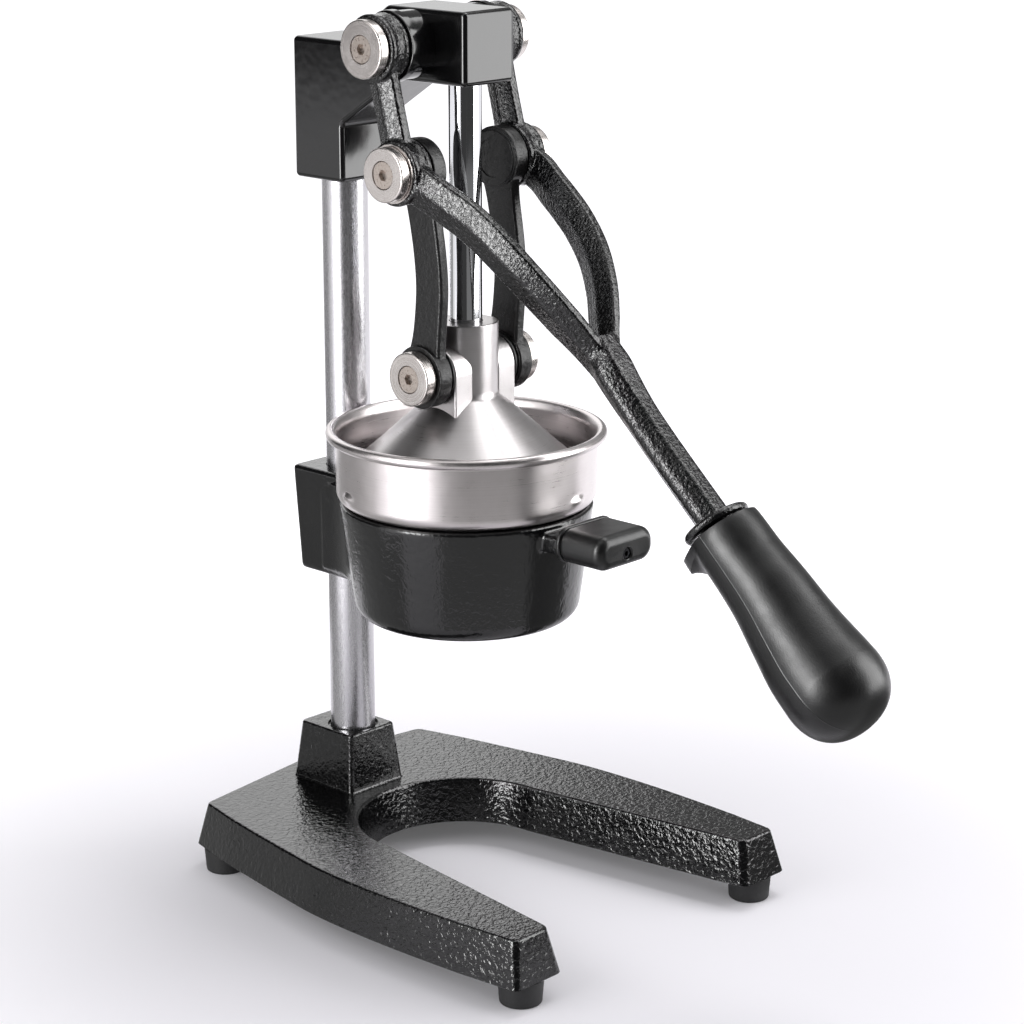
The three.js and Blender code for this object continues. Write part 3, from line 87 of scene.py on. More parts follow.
camera_data = bpy.data.cameras.new("camera")
camera_data.sensor_width = 36.0
camera_data.lens = camera_lens
camera = stand("camera", camera_data)
camera.location = camera_place
camera.rotation_euler = camera_turn
bpy.context.scene.camera = camera
print("lens", camera_lens, "mm at", [round(v, 3) for v in camera_place])

# %% [markdown]
# Helpers for surfaces. A shell is a grid of points: rows run along a piece and columns run round
# it. Whole arrays are worked out at once, in millimetres from the press axis, and only the last
# step turns them into metres in the frame.

# %% Grids of points become closed shells
MM = 0.001
ACROSS = np.array([1.0, 0.0, 0.0])
SIDES = ((1, "right"), (-1, "left"))


def unit(v):
    """Each row of v divided by its own length."""
    return v / np.linalg.norm(v, axis=-1, keepdims=True)


def grid_faces(rows, columns, wrap_rows=False):
    """Faces of a grid that closes round its columns: (i, j), (i, j+1), (i+1, j+1), (i+1, j)."""
    last = rows if wrap_rows else rows - 1
    i, j = np.meshgrid(np.arange(last), np.arange(columns), indexing="ij")
    here, above = i * columns, (i + 1) % rows * columns
    on = (j + 1) % columns
    return np.stack([here + j, here + on, above + on, above + j], -1).reshape(-1, 4)


def signed_volume(points, faces):
    """A sixth of the sum of a . (b x c) over all triangles, positive when the faces point out."""
    quads = np.array([f for f in faces if len(f) == 4]).reshape(-1, 4)
    fans = [np.stack([np.full(len(f) - 2, f[0]), f[1:-1], f[2:]], -1) for f in faces if len(f) != 4]
    tri = np.concatenate([quads[:, [0, 1, 2]], quads[:, [0, 2, 3]]] + fans)
    a, b, c = points[tri[:, 0]], points[tri[:, 1]], points[tri[:, 2]]
    return float(np.einsum("ij,ij->i", a, np.cross(b, c)).sum() / 6)


def shell(rings, wrap_rows=False):
    """rings[row, column] is a point in mm. Open ends are closed by one flat polygon each."""
    rows, columns = rings.shape[:2]
    points = rings.reshape(-1, 3)
    faces = list(grid_faces(rows, columns, wrap_rows))
    if not wrap_rows:
        faces.append(np.arange(columns)[::-1])
        faces.append((rows - 1) * columns + np.arange(columns))
    if signed_volume(points, faces) < 0:
        faces = [f[::-1] for f in faces]
    return points, faces


def mirror_shell(one):
    """The same shell on the other side of X = 0, with its faces turned back to point out."""
    points, faces = one
    return points * np.array([-1.0, 1.0, 1.0]), [f[::-1] for f in faces]


def on_side(side, one):
    """The shell itself on the right of X = 0, or its mirror image on the left."""
    return one if side > 0 else mirror_shell(one)


def mesh_object(name, points, faces):
    """A mesh object from points in metres and faces that list their points."""
    mesh = bpy.data.meshes.new(name)
    mesh.from_pydata(points, [], faces)
    mesh.update()
    return stand(name, mesh)


def build(name, shells):
    """One mesh object from shells, moved to the frame: metres, and Y measured from the rod."""
    points, faces, start = [], [], 0
    for p, f in shells:
        points.append(p)
        faces += [tuple(int(v) + start for v in face) for face in f]
        start += len(p)
    place = np.concatenate(points) * MM
    place[:, 1] += press_axis_y
    return mesh_object(name, place.tolist(), faces)


def settle(obj):
    """Gives the object the mesh that its modifiers make, and takes the modifiers off."""
    graph = bpy.context.evaluated_depsgraph_get()
    done = bpy.data.meshes.new_from_object(obj.evaluated_get(graph))
    old = obj.data
    obj.modifiers.clear()
    obj.data = done
    bpy.data.meshes.remove(old)
    return obj


def carve(obj, shells, operation="DIFFERENCE"):
    """Cuts or joins closed shells exactly, one by one, which keeps a machined edge crisp."""
    tools = [build("tool", one if isinstance(one, list) else [one]) for one in shells]
    for tool in tools:
        step = obj.modifiers.new("carve", "BOOLEAN")
        step.operation = operation
        step.solver = "MANIFOLD"
        step.object = tool
    settle(obj)
    for tool in tools:
        bpy.data.objects.remove(tool)
    return obj


def as_cast(obj, voxel, passes):
    """Melts overlapping shells into one skin on a voxel grid and eases the joins to fillets."""
    melt = obj.modifiers.new("melt", "REMESH")
    melt.mode = "VOXEL"
    melt.voxel_size = voxel * MM
    ease = obj.modifiers.new("ease", "SMOOTH")
    ease.factor = 0.5
    ease.iterations = passes
    return settle(obj)


def shade(obj, angle=32.0, weighted=True):
    """Smooth shading that breaks at sharp edges; big flat faces keep their own direction."""
    mesh = obj.data
    mesh.polygons.foreach_set("use_smooth", np.ones(len(mesh.polygons), bool))
    mesh.set_sharp_from_angle(angle=math.radians(angle))
    if weighted:
        step = obj.modifiers.new("flat faces lead", "WEIGHTED_NORMAL")
        step.keep_sharp = True
        step.mode = "FACE_AREA"
    return obj


print("surface helpers ready")

# %% [markdown]
# Profiles and paths. A turned part is a profile carried round an axis, a bar is a round profile
# with eased ends, and a plate is an outline with a quarter circle eased into both of its edges.

# %% Profiles, paths, plates and bars
FINE = 128


def quarter(count):
    """Evenly spaced angles over a quarter turn."""
    return np.linspace(0, np.pi / 2, count)


def arc(centre, radius, turns):
    """Points centre + r (cos a, sin a); two radii make it an ellipse."""
    return np.array(centre) + np.array(radius) * np.stack([np.cos(turns), np.sin(turns)], -1)


def rounded(corners, steps=6):
    """Replaces each corner (x, y, radius) by an arc that touches both of its edges."""
    points = []
    count = len(corners)
    for n, (x, y, radius) in enumerate(corners):
        here = np.array([x, y], float)
        if radius <= 0:
            points.append(here[None])
            continue
        back = unit(np.array(corners[n - 1][:2], float) - here)
        on = unit(np.array(corners[(n + 1) % count][:2], float) - here)
        half = math.acos(float(np.clip(back @ on, -1, 1))) / 2
        middle = here + unit(back + on) * radius / math.sin(half)
        start = here + back * radius / math.tan(half) - middle
        end = here + on * radius / math.tan(half) - middle
        first = math.atan2(start[1], start[0])
        sweep = math.atan2(end[1], end[0]) - first
        sweep = math.atan2(math.sin(sweep), math.cos(sweep))
        points.append(arc(middle, radius, first + sweep * np.linspace(0, 1, steps + 1)))
    return np.concatenate(points)


def rectangle(x0, x1, y0, y1, radius, grow=0.0, steps=6):
    """A rectangle with round corners, grown by the same amount on all sides."""
    x0, x1, y0, y1 = x0 - grow, x1 + grow, y0 - grow, y1 + grow
    return rounded([(x0, y0, radius), (x1, y0, radius), (x1, y1, radius), (x0, y1, radius)], steps)


def offset(outline, distance):
    """Moves an outline along its normals; the mitre keeps straight edges parallel."""
    a, b = unit(outline - np.roll(outline, 1, 0)), unit(np.roll(outline, -1, 0) - outline)
    na, nb = np.stack([a[:, 1], -a[:, 0]], -1), np.stack([b[:, 1], -b[:, 0]], -1)
    normal = unit(na + nb)
    mitre = np.maximum((normal * na).sum(1, keepdims=True), 0.3)
    return outline + normal * distance / mitre


def anticlockwise(outline):
    """Turns an outline round when its signed area, half the sum of x dy - y dx, is negative."""
    nxt = np.roll(outline, -1, 0)
    area = (outline[:, 0] * nxt[:, 1] - nxt[:, 0] * outline[:, 1]).sum()
    return outline if area > 0 else outline[::-1]


def stacked(layers):
    """A shell from outlines one above the other; each layer is (outline, height)."""
    return shell(np.array([np.column_stack([flat, np.full(len(flat), z)]) for flat, z in layers]))


def plate(outline, start, end, ease, axis, steps=5):
    """An outline carried from start to end; its edges are inset e(1 - sin t) at e(1 - cos t)."""
    outline = anticlockwise(outline)
    t = quarter(steps + 1)
    inset, rise = ease * (1 - np.sin(t)), ease * (1 - np.cos(t))
    levels = [(a, start + b) for a, b in zip(inset, rise)]
    levels += [(a, end - b) for a, b in zip(inset[::-1], rise[::-1])]
    rings = []
    for inside, level in levels:
        u, v = offset(outline, -inside).T
        along = np.full(len(u), level)
        columns = {"x": [along, u, v], "y": [u, along, v], "z": [u, v, along]}[axis]
        rings.append(np.stack(columns, -1))
    return shell(np.array(rings))


def turned(profile, axis="z", centre=(0.0, 0.0), closed=False, count=FINE):
    """A profile (radius, place) carried round an axis: (r cos a, r sin a, place)."""
    profile = np.asarray(profile, float)
    a = np.arange(count) * 2 * np.pi / count
    c = profile[:, :1] * np.cos(a) + centre[0]
    s = profile[:, :1] * np.sin(a) + centre[1]
    h = np.repeat(profile[:, 1:], count, 1)
    order = {"x": [h, c, s], "y": [c, h, s], "z": [c, s, h]}[axis]
    return shell(np.stack(order, -1), wrap_rows=closed)


def lobed(radii, angles, heights, wrap_rows=False):
    """A turned shell whose radius also changes round it: (r(h, a) cos a, r(h, a) sin a, h)."""
    h = np.repeat(heights[:, None], len(angles), 1)
    return shell(np.stack([radii * np.cos(angles), radii * np.sin(angles), h], -1), wrap_rows)


def bar(radius, start, end, axis="z", centre=(0.0, 0.0), ease=0.0, count=FINE):
    """A round bar whose ends are eased by a quarter circle."""
    if ease <= 0:
        return turned([[radius, start], [radius, end]], axis, centre, count=count)
    t = quarter(5)
    inside, rise = radius - ease * (1 - np.sin(t)), ease * (1 - np.cos(t))
    low, high = np.stack([inside, start + rise], -1), np.stack([inside, end - rise], -1)[::-1]
    return turned(np.concatenate([low, high]), axis, centre, count=count)


def curve_through(points, count):
    """A smooth, evenly spaced curve: cubic pieces with tangents from root-distance spacing."""
    p = np.asarray(points, float)
    p = np.concatenate([[2 * p[0] - p[1]], p, [2 * p[-1] - p[-2]]])
    d = np.maximum(np.sqrt(np.linalg.norm(np.diff(p, axis=0), axis=1)), 1e-6)[:, None]
    d0, d1, d2 = d[:-2], d[1:-1], d[2:]
    a, b, c, e = p[:-3], p[1:-2], p[2:-1], p[3:]
    t1 = d1 * ((b - a) / d0 - (c - a) / (d0 + d1) + (c - b) / d1)
    t2 = d1 * ((c - b) / d1 - (e - b) / (d1 + d2) + (e - c) / d2)
    u = np.linspace(0, 1, 60, endpoint=False)[None, :, None]
    b, c, t1, t2 = b[:, None], c[:, None], t1[:, None], t2[:, None]
    fine = ((2 * u**3 - 3 * u**2 + 1) * b + (u**3 - 2 * u**2 + u) * t1
            + (3 * u**2 - 2 * u**3) * c + (u**3 - u**2) * t2)
    fine = np.concatenate([fine.reshape(-1, p.shape[1]), p[-2:-1]])
    run = np.concatenate([[0], np.cumsum(np.linalg.norm(np.diff(fine, axis=0), axis=1))])
    even = np.linspace(0, run[-1], count)
    return np.stack([np.interp(even, run, fine[:, k]) for k in range(fine.shape[1])], -1)


def swept(path, sections):
    """Carries sections (a, b) along a path: point + a X + b up, where up = X cross along."""
    up = unit(np.cross(ACROSS, unit(np.gradient(path, axis=0))))
    up[up[:, 2] < 0] *= -1
    return shell(path[:, None] + sections[..., :1] * ACROSS + sections[..., 1:] * up[:, None])


def ease_step(t):
    """Slow start and slow end: 3 t^2 - 2 t^3."""
    t = np.clip(t, 0, 1)
    return t * t * (3 - 2 * t)


print("profiles, plates and sweeps ready")

# %% [markdown]
# The base is one iron casting: a U that is open to the front, drafted so that it lifts out of the
# sand, hollow underneath and with a tapered socket for the post. The outline is moved outwards as
# it goes down, which gives the draft, and a quarter circle rolls over its top edge.

# %% Outline of the base
post_axis = (0.0, 85.0)
post_bore, pin_bore, set_screw_bore = 12.0, 6.3, 3.9
foot_places = {"front_left": (-85.4, -117.2), "front_right": (85.4, -117.2),
               "rear_left": (-73.8, 105.3), "rear_right": (73.8, 105.3)}
base_side = curve_through([
    [96.6, -112.0], [98.0, -100.0], [99.8, -69.0], [100.55, -32.0], [99.0, 5.0], [94.8, 33.0],
    [90.0, 60.0], [84.5, 88.0], [80.5, 104.5]], 60)[4:-4]
inner_radius, inner_centre = 54.0, (0.0, 4.0)


def base_outline(distance):
    """The U seen from above; its corners are rounded after it has been moved out."""
    right = [(72.4, -123.6, 5.5), (95.6, -123.6, 3.6)] + [(x, y, 0) for x, y in base_side]
    right.append((78.0, 114.5, 4.5))
    left = [(-x, y, r) for x, y, r in right[::-1]]
    inner = [(x, y, 0) for x, y in arc(inner_centre, inner_radius, np.linspace(np.pi, 0, 61))]
    corners = right + [(0.0, 126.0, 9.0)] + left + inner
    moved = offset(np.array([c[:2] for c in corners]), distance)
    return rounded([(p[0], p[1], c[2]) for p, c in zip(moved, corners)], 9)


print("base outline:", len(base_outline(0.0)), "points")

# %% Base casting
# Each level is how far the outline has moved out and the height at which it stands.
base_low, base_high, base_ease, base_draft = 12.6, 35.5, 1.7, 5.0
ease_turn = quarter(6)
base_slope = base_draft / (base_high - base_low)
base_levels = [(-4.5, 30.5), (0.5, base_low), (4.6, base_low), (base_draft, base_low + 0.4)]
base_levels += [(base_ease * base_slope - base_ease * 0.9 * (1 - math.cos(turn)),
                 base_high - base_ease + base_ease * math.sin(turn)) for turn in ease_turn]
base = build("base_enamelled", [stacked([(base_outline(d), z) for d, z in base_levels])])

socket_top = 65.3
socket_levels = [(3.0 + 1.6 * (1 - math.sin(turn)), base_high - 0.3 + 1.7 * (1 - math.cos(turn)))
                 for turn in quarter(7)]
socket_levels += [(0.12 - 1.2 * (1 - math.cos(turn)), socket_top + 1.2 * math.sin(turn))
                  for turn in ease_turn]
socket = stacked([(rectangle(-16.0, 16.0, 70.0, 108.5, 2.6, grow), z) for grow, z in socket_levels])
bosses = [bar(7.3, base_low, 30.8, centre=place) for place in foot_places.values()]
carve(base, [socket] + bosses + [bar(17.0, 20.0, 33.0, centre=post_axis)], "UNION")
foot_seat, foot_screw_bore = 6.3, 2.5
base_cuts = [bar(post_bore, 31.2, 70.0, centre=post_axis),
             bar(13.4, socket_top, 70.0, centre=post_axis), bar(4.3, 10.0, 32.0, centre=post_axis)]
base_cuts += [bar(foot_seat, 10.0, 16.8, centre=place) for place in foot_places.values()]
base_cuts += [bar(foot_screw_bore, 10.0, 27.3, centre=place, count=32)
              for place in foot_places.values()]
carve(base, base_cuts)
shade(base)
print("base:", len(base.data.polygons), "faces")

# %% [markdown]
# The post and the guide rod are drawn bars. Each is a plain profile turned about its own axis,
# with the small chamfer that a lathe leaves at the ends.

# %% Post and guide rod
post = shade(build("post_drawn_steel", [bar(11.7, 31.5, 421.0, "z", post_axis, 0.5)]))
rod = shade(build("rod_chromed", [bar(8.1, 263.0, 440.0, ease=1.0)]))
print("post and rod:", len(post.data.polygons), len(rod.data.polygons), "faces")

# %% [markdown]
# The head is a second casting, machined where the post and rod enter and enamelled smooth. Its
# side view is one outline: front block, sloping gusset, rear block. The trunnion boss runs
# through it from side to side, so that is a turned bar joined to the plate.

# %% Head casting
head_outline = rounded([
    (-16.8, 413.5, 2.6), (28.5, 413.5, 5.0), (68.6, 388.0, 4.0), (68.6, 358.7, 2.6),
    (103.4, 358.7, 2.6), (103.4, 429.3, 2.6), (65.0, 429.3, 3.0), (36.0, 448.9, 5.0),
    (-16.8, 448.9, 2.6)], steps=8)
head = build("head_enamelled", [plate(head_outline, -17.2, 17.2, 2.5, "x", 8)])
trunnion = (18.9, 431.6)
boss_half = np.array([[16.5, 24.0], [16.5, 28.0], [17.2, 28.6], [17.2, 32.2], [17.0, 32.8],
                      [16.4, 33.1]])
boss_profile = np.concatenate([boss_half[::-1] * [1, -1], boss_half])
carve(head, [turned(boss_profile, "x", trunnion)], "UNION")
head_cuts = [bar(post_bore, 350.0, 421.3, centre=post_axis), bar(8.4, 410.0, 440.3),
             bar(pin_bore, 11.7, 40.0, "x", trunnion), bar(pin_bore, -40.0, -11.7, "x", trunnion)]
head_cuts += [bar(set_screw_bore, 85.0, 110.0, "y", (0, z), count=48) for z in (376.0, 410.0)]
carve(head, head_cuts)
shade(head)
print("head:", len(head.data.polygons), "faces")

# %% [markdown]
# The lever is the part that takes the most skill: two cranks, two arms that lean in and a stem.
# Each is a bevelled section carried along a smooth path. The loose shells are melted into one
# skin on a fine voxel grid, which leaves the soft fillets of a casting where they meet, and the
# pivot bores are cut afterwards so that they stay crisp.

# %% Arms, cranks and eyes of the lever
middle_pivot = (3.9, 373.8)


def arm_section(half_height, half_width=5.3, flat=2.4, ridge=0.6):
    """Six corners: a flat along each edge and a ridge on each side, with small rounds."""
    return rounded([
        (-flat, -half_height, 0.8), (flat, -half_height, 0.8), (half_width, ridge, 4.0),
        (flat, half_height, 0.8), (-flat, half_height, 0.8), (-half_width, ridge, 4.0)])


arm_path = curve_through([
    [39.2, 3.9, 373.8], [39.2, -12.5, 367.0], [36.0, -24.5, 360.2], [33.4, -35.2, 353.9],
    [31.2, -45.8, 346.2], [26.8, -59.5, 333.5], [20.0, -71.0, 319.6], [12.8, -79.2, 307.4],
    [5.8, -87.4, 295.0], [2.0, -97.4, 283.0]], 120)
arm_close = ease_step(np.linspace(-2.6, 1, len(arm_path)))
arm_sections = [arm_section(9.8 - 2.6 * v, 5.3 - 0.8 * v, 2.4 - 0.4 * v) for v in arm_close]
crank_path = np.linspace([39.25, *middle_pivot], [39.25, *trunnion], 24)
crank_sections = [arm_section(8.1 + 0.9 * v * v, 5.5, 2.5, 0.0)
                  for v in np.linspace(-1, 1, len(crank_path))]


def eye_shell(radius, pivot):
    """A lever eye: a turned boss with a shallow groove between two rims."""
    cut_in = np.array([1.0, 0.3, 0.0, 0.0, 0.7, 0.7, 0.0, 0.0, 0.3, 1.0])
    along = np.array([33.4, 33.7, 34.4, 36.2, 36.9, 41.6, 42.3, 44.1, 44.8, 45.1])
    return turned(np.column_stack([radius - cut_in, along]), "x", pivot)


one_side = [swept(arm_path, np.array(arm_sections)), swept(crank_path, np.array(crank_sections)),
            eye_shell(16.2, trunnion), eye_shell(15.9, middle_pivot)]
print("one side of the lever:", sum(len(points) for points, faces in one_side), "points")

# %% Stem, collar and tang, melted into one casting
stem_path = curve_through([
    [0, -86.5, 299.5], [0, -95.0, 288.6], [0, -107.5, 274.3], [0, -123.6, 258.2],
    [0, -150.1, 233.8], [0, -162.6, 222.6]], 100)
stem_run = np.linspace(0, 1, len(stem_path))
stem_sections = []
for share, start in zip(ease_step(stem_run / 0.45), ease_step(stem_run / 0.16)):
    high = 7.4 + 1.2 * start - 0.8 * share
    wide = 7.6 + 2.8 * start - 1.2 * share
    flat = 5.0 + 1.6 * start - 2.2 * share
    stem_sections.append(rounded([
        (-flat, -high, 3.0), (flat, -high, 3.0), (wide, -2.0, 5.0), (wide, 2.0, 5.0),
        (flat, high, 3.0), (-flat, high, 3.0), (-wide, 2.0, 5.0), (-wide, -2.0, 5.0)]))
grip_slope = math.radians(47.0)
grip_along = np.array([0.0, -math.cos(grip_slope), -math.sin(grip_slope)])
grip_up = np.array([0.0, -math.sin(grip_slope), math.cos(grip_slope)])
collar_centre = np.array([0.0, -160.6, 224.4])


def along_grip(profile, count=FINE):
    """A profile (radius, place) turned about the grip's sloping axis through the collar."""
    profile = np.asarray(profile, float)
    a = np.arange(count)[:, None] * 2 * np.pi / count
    ring = np.cos(a) * ACROSS + np.sin(a) * grip_up
    return shell(collar_centre + profile[:, None, 1:] * grip_along + profile[:, None, :1] * ring)


t = np.linspace(-np.pi / 2, np.pi / 2, 13)
collar = along_grip(arc((14.7, 0.0), (2.1, 2.2), t))
tang = along_grip([[6.0, 0.0], [6.0, 58.0]])
stem = swept(stem_path, np.array(stem_sections))
lever = build("lever_enamelled", [on_side(side, one) for side, word in SIDES for one in one_side]
              + [stem, collar, tang])
as_cast(lever, 0.68, 4)
carve(lever, [bar(pin_bore, start, start + 18.0, "x", pivot, count=64)
              for pivot in (trunnion, middle_pivot) for start in (30.0, -48.0)])
shade(lever, 40.0, False)
print("lever:", len(lever.data.polygons), "faces")

# %% [markdown]
# The moulded grip is one smooth surface: round sections whose radius r follows a spline, carried
# along a bent middle line and closed by a round end. The finger guard under its rim has straight
# sides that leave the round at a tangent, r / cos(lean - angle from below), so that it grows out
# of the body as a moulding does. A hair of extra radius on both sides is the seam of the mould.

# %% Rows of the moulded grip: y, z and radius
grip_rows = curve_through([
    [-162.6, 224.6, 17.2], [-164.6, 222.7, 17.6], [-167.4, 220.4, 18.1], [-179.5, 209.4, 18.5],
    [-193.6, 196.8, 19.9], [-207.4, 182.6, 22.1], [-219.2, 171.2, 24.3], [-229.8, 162.5, 25.3],
], 130)
grip_rows = grip_rows[grip_rows[:, 0] < -163.0]
end_length, end_power = 25.0, 2.3
end_along = unit(grip_rows[-1, :2] - grip_rows[-6, :2])
share = np.sin(quarter(40))[1:-1]
end_place = grip_rows[-1, :2] + end_along * end_length * share[:, None]
end_radius = grip_rows[-1, 2] * (1 - share**end_power) ** (1 / end_power)
grip_rows = np.concatenate([grip_rows, np.column_stack([end_place, end_radius])])
steps = np.linalg.norm(np.diff(grip_rows[:, :2], axis=0), axis=1)
grip_run = np.concatenate([[0], np.cumsum(steps)])
print("grip rows:", len(grip_rows), "over", round(float(grip_run[-1]), 1), "mm")

# %% Moulded grip on the lever
near_seam = np.array([-0.03, -0.02, -0.012, -0.006, 0.0, 0.006, 0.012, 0.02, 0.03])
even_round = np.arange(160) * 2 * np.pi / 160
grip_angle = np.concatenate([even_round, np.pi + near_seam, near_seam % (2 * np.pi)])
grip_angle = np.unique(grip_angle.round(6))
guard_top, guard_start, guard_length = 19.0, 4.5, 7.5
seam_rise, seam_half, grip_width = 0.16, 0.009, 0.97
core = grip_rows[:, 2:]
guard_share = np.exp(-(np.maximum(grip_run - guard_start, 0) / guard_length) ** 1.3)
guard_height = guard_top * guard_share[:, None]
lean = np.arccos(core / (core + guard_height))
from_below = np.sqrt((grip_angle - 1.5 * np.pi) ** 2 + 0.12**2)
from_seam = np.minimum(np.abs(grip_angle - np.pi), np.minimum(grip_angle, 2 * np.pi - grip_angle))
radius = core / np.cos(np.maximum(lean - from_below, 0))
radius = radius + seam_rise * np.exp(-(from_seam / seam_half) ** 2)
grip_x, grip_y = grip_width * radius * np.cos(grip_angle), radius * np.sin(grip_angle)
grip_sections = np.stack([grip_x, grip_y], -1)
grip_path = np.column_stack([np.zeros(len(grip_rows)), grip_rows[:, :2]])
grip = build("grip_moulded", [swept(grip_path, grip_sections)])
carve(grip, [along_grip([[40.0, -30.0], [40.0, 3.8]]), along_grip([[6.3, -3.0], [6.3, 59.0]])])
shade(grip, 40.0, True)
print("lever grip:", len(grip.data.polygons), "faces")

# %% [markdown]
# Each link is a curved flat plate whose waist opens into two eyes. The outline is worked out from
# the middle line: half-width h(s) = waist + (eye - waist) |2s - 1|^6, closed by an arc at each end.

# %% Links
bell_pivot = (0.9, 273.3)
link_line = curve_through([middle_pivot, [0.4, 353.0], [-2.8, 334.0], [-4.1, 318.0], [-2.8, 299.0],
                           bell_pivot], 80)
waist, middle_eye, bell_eye = 8.9, 15.6, 15.4


def arc_between(centre, radius, first, last, count=40):
    """Points on a circle from one point to another, going anticlockwise, without the ends."""
    a0 = math.atan2(first[1] - centre[1], first[0] - centre[0])
    a1 = math.atan2(last[1] - centre[1], last[0] - centre[0])
    sweep = (a1 - a0) % (2 * math.pi)
    return arc(centre, radius, a0 + sweep * np.linspace(0, 1, count + 2)[1:-1])


share = np.linspace(0, 1, len(link_line))
run = unit(np.gradient(link_line, axis=0))
half = waist + (np.where(share < 0.5, middle_eye, bell_eye) - waist) * np.abs(2 * share - 1) ** 6
to_edge = np.stack([-run[:, 1], run[:, 0]], -1) * half[:, None]
left_edge, right_edge = link_line + to_edge, link_line - to_edge
link_outline = np.concatenate([
    right_edge, arc_between(bell_pivot, bell_eye, right_edge[-1], left_edge[-1]),
    left_edge[::-1], arc_between(middle_pivot, middle_eye, left_edge[0], right_edge[0])])
eye_profile = [[13.2, 22.8], [13.7, 23.1], [13.7, 23.6], [14.6, 23.8], [14.6, 24.4], [15.5, 24.7],
               [15.5, 29.0], [15.5, 31.8], [15.3, 32.3], [14.8, 32.5]]


def make_link(name, side):
    """Plate and two eye bosses joined, then bored for the pins."""
    eyes = [turned(eye_profile, "x", place) for place in (middle_pivot, bell_pivot)]
    bores = [bar(pin_bore, 20.0, 35.0, "x", bell_pivot, count=64),
             bar(pin_bore, 26.2, 35.0, "x", middle_pivot, count=64),
             bar(9.6, 22.0, 23.4, "x", middle_pivot)]
    obj = build(name, [on_side(side, plate(link_outline, 24.3, 30.5, 1.6, "x"))])
    carve(obj, [on_side(side, eye) for eye in eyes], "UNION")
    return shade(carve(obj, [on_side(side, bore) for bore in bores]))


links = {word: make_link(f"link_{word}_enamelled", side) for side, word in SIDES}
print("links:", len(links["right"].data.polygons), "faces each")

# %% [markdown]
# Pivot hardware: a turned steel cap sits on each pivot, held by a countersunk screw with a hexagon
# socket. The socket is a real six-sided hole, because it is the only detail on the cap's face.

# %% Caps and screws
def make_cap(name, side, centre, radius, start, end):
    """Face and rim with a small round, and a sunk seat for the screw head."""
    obj = build(name, [on_side(side, bar(radius, start, end, "x", centre, 0.8))])
    seat = [[3.3, start - 1], [3.3, end - 3.6], [7.0, end - 0.85], [7.0, end + 1]]
    return shade(carve(obj, [on_side(side, turned(seat, "x", centre))]))


def make_screw(name, side, centre, end, reach=14.0, across_flats=5.0):
    """Countersunk head with a hexagon socket and a plain shank."""
    top = end - 0.4
    profile = [[2.6, end - reach], [3.0, end - reach + 0.4], [3.0, top - 3.0], [6.7, top - 0.45],
               [6.7, top - 0.25], [6.45, top]]
    obj = build(name, [on_side(side, turned(profile, "x", centre))])
    socket = bar(across_flats / math.sqrt(3), top - 2.2, top + 1, "x", centre, count=6)
    return shade(carve(obj, [on_side(side, socket)]), 25.0)


cap_sets = {"trunnion": (trunnion, 14.0, 45.4, 51.0, "frame"),
            "middle": (middle_pivot, 13.2, 46.5, 52.1, "lever"),
            "bell_pivot": (bell_pivot, 13.2, 32.8, 39.4, "bell")}
caps, screws = [], []
for joint, (centre, cap_radius, start, end, body) in cap_sets.items():
    for side, word in SIDES:
        cap = make_cap(f"{joint}_cap_{word}_turned", side, centre, cap_radius, start, end)
        screw = make_screw(f"{joint}_screw_{word}_plated", side, centre, end)
        caps.append((cap, joint, word, body))
        screws.append((screw, joint, word, body))
print("caps and screws:", len(caps) + len(screws))

# %% [markdown]
# The bell is cast aluminium, turned on its neck and cone. The neck slides on the rod, and two lugs
# take the links. The lugs are plates with round tops, joined to the turned body.

# %% Bell
shoulder = np.linspace(0, 0.98, 7)
bell_outer = np.concatenate([
    [[1.0, 297.0], [15.2, 297.0], [15.7, 296.8], [16.0, 296.3], [16.0, 264.5]],
    arc((20.0, 263.2), (-4.0, -4.6), shoulder),
    [[48.9, 231.4], [49.8, 230.8], [55.7, 225.1], [56.0, 224.5], [56.0, 218.8], [55.6, 218.4],
     [52.0, 218.4], [1.0, 218.4]]])
lug_radius, lug_low = 13.4, 244.0
lug_top = arc((0.0, bell_pivot[1]), lug_radius, np.linspace(0, np.pi, 41))
lug_outline = np.concatenate([[[lug_radius, lug_low]], lug_top, [[-lug_radius, lug_low]]])
bell = build("bell_turned", [turned(bell_outer)])
lug = plate(lug_outline, 9.0, 21.1, 0.9, "x")
carve(bell, [on_side(side, lug) for side, word in SIDES], "UNION")
bell_room = [[1.0, 216.0], [51.4, 216.0], [51.4, 222.3], [44.8, 224.9], [11.5, 251.5], [8.4, 251.6],
             [8.4, 300.0], [1.0, 300.0]]
carve(bell, [turned(bell_room), bar(pin_bore, 10.0, 24.0, "x", bell_pivot, count=64),
             bar(pin_bore, -24.0, -10.0, "x", bell_pivot, count=64)])
shade(bell)
spacer_profile = [[pin_bore, 21.4], [13.9, 21.4], [14.4, 21.7], [14.4, 22.2], [13.9, 22.5],
                  [pin_bore, 22.5]]
spacer = turned(spacer_profile, "x", bell_pivot, closed=True)
spacers = [(shade(build(f"bell_spacer_{word}_nylon", [on_side(side, spacer)])), word)
           for side, word in SIDES]
print("bell:", len(bell.data.polygons), "faces")

# %% [markdown]
# The bowl, the web and the clamp block are one casting again, so they are melted together like the
# lever. The web is a level plate whose sides flare in a quadratic curve from the bowl to the post,
# and the clamp block wraps the post. A tab in front carries the small grip. The bowl's inside, the
# bores and the drain are cut afterwards.

